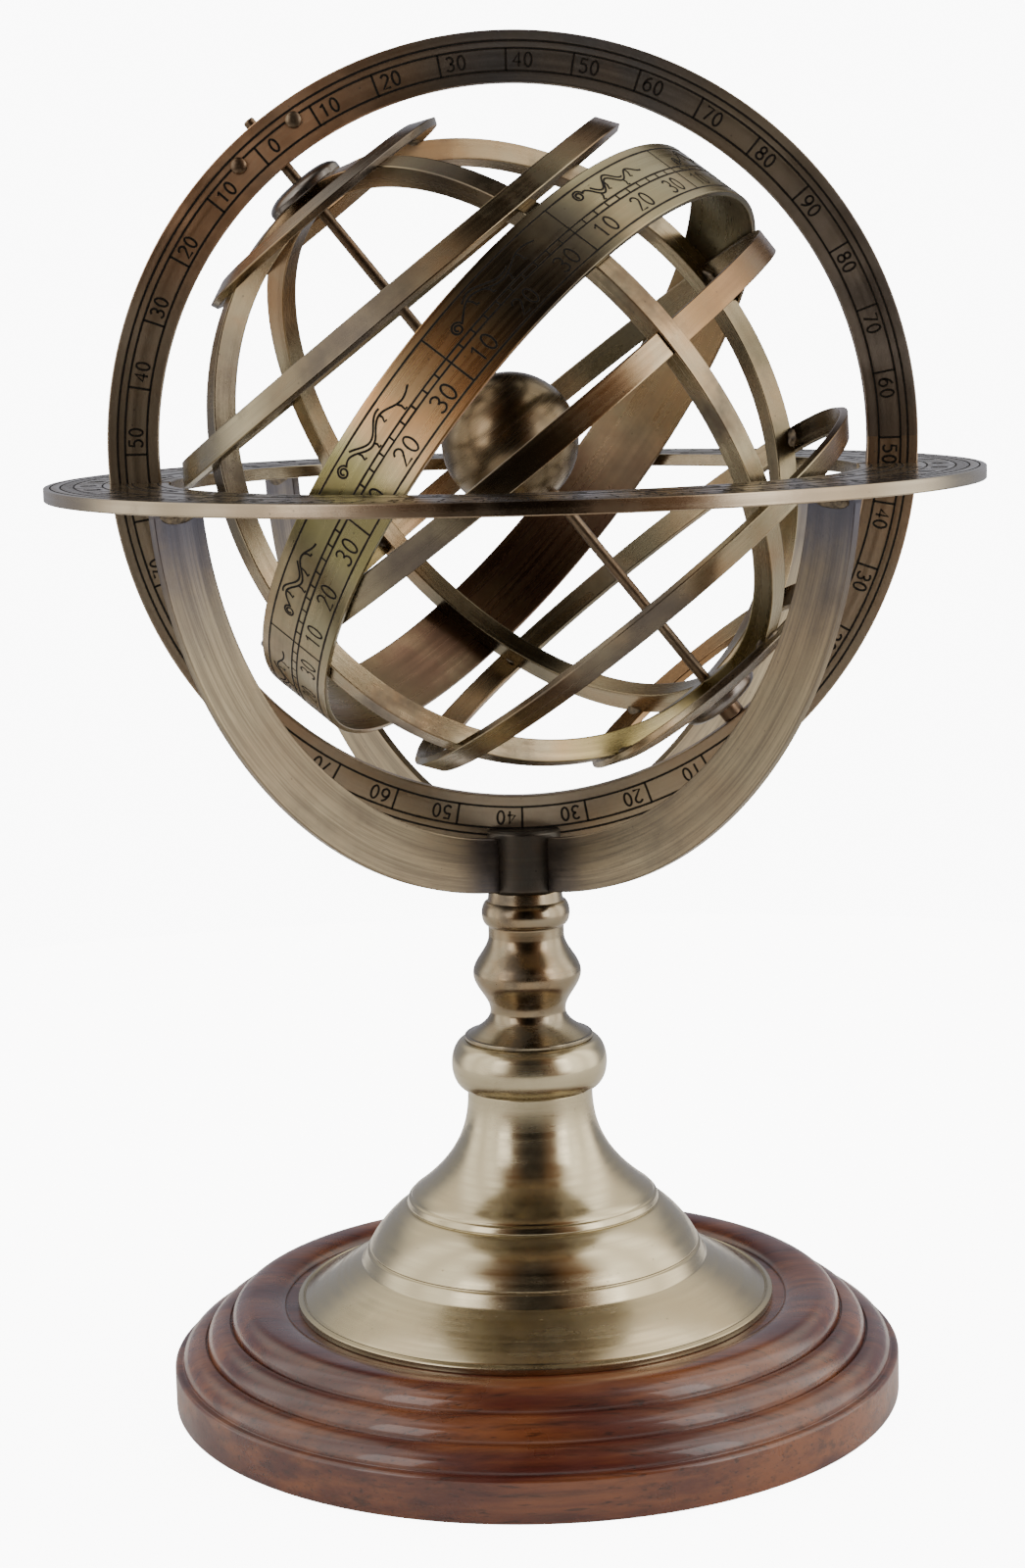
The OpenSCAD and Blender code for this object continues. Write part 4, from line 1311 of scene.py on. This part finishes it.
@dataclass
class Studio:
    """The camera, the floor, the lights and the sky round the object."""

    lens: float = 68.36
    eye: tuple[float, float, float] = (-0.0159, -0.6083, 0.2260)
    bearing: float = math.radians(1.5)
    pitch: float = math.radians(8.98)
    yaw: float = math.radians(-0.193)
    roll: float = math.radians(1.45)
    floor_r: float = 0.5
    white: float = 10.0

    def build(self) -> None:
        """Sets up everything."""
        self.camera()
        self.floor()
        self.lamps()
        self.sky()

    def camera(self) -> None:
        """Places the camera: it looks along its bearing and down by its pitch, and is rolled a little."""
        ahead = Vector((math.sin(self.bearing) * math.cos(self.pitch),
                        math.cos(self.bearing) * math.cos(self.pitch), -math.sin(self.pitch)))
        right = Vector((math.cos(self.bearing), -math.sin(self.bearing), 0))
        ahead = (ahead * math.cos(self.yaw) + right * math.sin(self.yaw)).normalized()
        right = (right - ahead * right.dot(ahead)).normalized()
        up = right.cross(ahead)
        up, right = (up * math.cos(self.roll) + right * math.sin(self.roll),
                     right * math.cos(self.roll) - up * math.sin(self.roll))
        data = bpy.data.cameras.new("camera")
        data.lens, data.sensor_width, data.clip_start, data.clip_end = self.lens, 36.0, 0.01, 20.0
        data.sensor_fit = "AUTO"
        camera = bpy.data.objects.new("camera", data)
        turn = Matrix((right, up, -ahead)).transposed().to_4x4()
        camera.matrix_world = Matrix.Translation(self.eye) @ turn
        bpy.context.scene.collection.objects.link(camera)
        bpy.context.scene.camera = camera

    def floor(self) -> None:
        """Lays a large pale disc under the object."""
        angle = np.linspace(0, 2 * np.pi, 65)[:-1]
        verts = np.stack([self.floor_r * np.cos(angle), self.floor_r * np.sin(angle), 0 * angle], 1)
        mesh = bpy.data.meshes.new("floor")
        mesh.from_pydata(verts.tolist(), [], [list(range(64))])
        floor = bpy.data.objects.new("floor", mesh)
        bpy.context.scene.collection.objects.link(floor)
        material, tree, shader, coords = start_material("pale floor", Roughness=0.6, Specular_IOR_Level=0.2)
        tone = noise(tree, coords.outputs["Object"], 3.0, 2)
        tree.links.new(mix(tree, tone, (0.93, 0.93, 0.93, 1), (0.95, 0.95, 0.95, 1)),
                       shader.inputs["Base Color"])
        seen = node(tree, "LightPath").outputs["Is Camera Ray"]
        glow = mix(tree, seen, (0, 0, 0, 1), (1, 1, 1, 1))
        tree.links.new(glow, shader.inputs["Emission Color"])
        shader.inputs["Emission Strength"].default_value = self.white - 0.7
        mesh.materials.append(material)

    def lamps(self) -> None:
        """Hangs two tall soft boxes at the sides and a wide one overhead."""
        for name, spot, size, power in (("left box", (-0.95, -0.85, 0.55), (0.45, 1.0), 5),
                                        ("right box", (1.0, -0.75, 0.5), (0.4, 1.0), 4.5),
                                        ("top box", (0.0, 0.15, 1.4), (1.6, 1.2), 5)):
            data = bpy.data.lights.new(name, "AREA")
            data.shape, data.size, data.size_y, data.energy = "RECTANGLE", size[0], size[1], power
            lamp = bpy.data.objects.new(name, data)
            target = Vector((0, 0, 0.14)) - Vector(spot)
            lamp.visible_glossy = name != "top box"
            lamp.matrix_world = (Matrix.Translation(spot)
                                 @ target.to_track_quat("-Z", "Y").to_matrix().to_4x4())
            bpy.context.scene.collection.objects.link(lamp)

    def sky(self) -> None:
        """Paints the room: dark in front, warm beside that, bright at both sides and pale behind.

        Higher up it is dark overhead and behind, and bright to both sides.
        """
        world = bpy.data.worlds.new("studio")
        bpy.context.scene.world = world
        world.use_nodes = True
        tree = world.node_tree
        tree.nodes.clear()
        parts = node(tree, "SeparateXYZ", {0: node(tree, "TexCoord").outputs["Generated"]}).outputs
        level = node(tree, "CombineXYZ", {"X": parts["X"], "Y": parts["Y"]}).outputs[0]
        reach = node(tree, "VectorMath", {0: level}, operation="LENGTH").outputs["Value"]
        aside = maths(tree, "DIVIDE", maths(tree, "ABSOLUTE", parts["X"], 0),
                      maths(tree, "MAXIMUM", reach, 0.05))
        stops = ((0.0, (0.008, 0.006, 0.005)), (0.30, (0.016, 0.011, 0.007)), (0.42, (0.17, 0.085, 0.035)),
                 (0.76, (0.34, 0.175, 0.08)), (0.89, (2.2, 2.1, 1.95)), (0.95, (3.1, 3.0, 2.85)),
                 (0.99, (2.8, 2.7, 2.5)), (1.0, (2.1, 2.0, 1.85)))
        colors = node(tree, "ValToRGB", {0: aside})
        bar = colors.color_ramp
        while len(bar.elements) < len(stops):
            bar.elements.new(0.5)
        for element, (spot, color) in zip(bar.elements, stops):
            element.position, element.color = spot, (*color, 1.0)
        lit = node(tree, "VectorMath", {0: colors.outputs["Color"], "Scale": ramp(
            tree, parts["X"], -0.3, 0.3, 0.75, 1.0)}, operation="SCALE").outputs[0]
        high = mix(tree, ramp(tree, aside, 0.2, 0.6), (0.02, 0.014, 0.01, 1), (1.5, 1.42, 1.25, 1))
        behind = mix(tree, ramp(tree, parts["Z"], 0.6, 0.3), high, (0.45, 0.46, 0.52, 1))
        back = ramp(tree, maths(tree, "DIVIDE", parts["Y"], maths(tree, "MAXIMUM", reach, 0.05)), 0.35, 0.65)
        round_about = mix(tree, back, lit, behind)
        round_about = mix(tree, ramp(tree, parts["Z"], 0.9, 0.97), round_about, (0.02, 0.014, 0.01, 1))
        low = ramp(tree, parts["Z"], -0.05, -0.5)
        full = mix(tree, low, round_about, (0.09, 0.075, 0.06, 1))
        seen = node(tree, "LightPath").outputs["Is Camera Ray"]
        shown = mix(tree, seen, full, (self.white, self.white, self.white, 1))
        painted = node(tree, "Background", {"Color": shown, "Strength": 1.0})
        out = tree.nodes.new("ShaderNodeOutputWorld")
        tree.links.new(painted.outputs[0], out.inputs["Surface"])


def main() -> None:
    """Builds the studio and each sub-assembly in order."""
    logging.basicConfig(level=logging.INFO, format="%(message)s")
    build_groups()
    Studio().build()
    Pedestal().build()
    Cradle().build()
    Meridian().build()
    Cage().build()


if __name__ == "__main__":
    main()
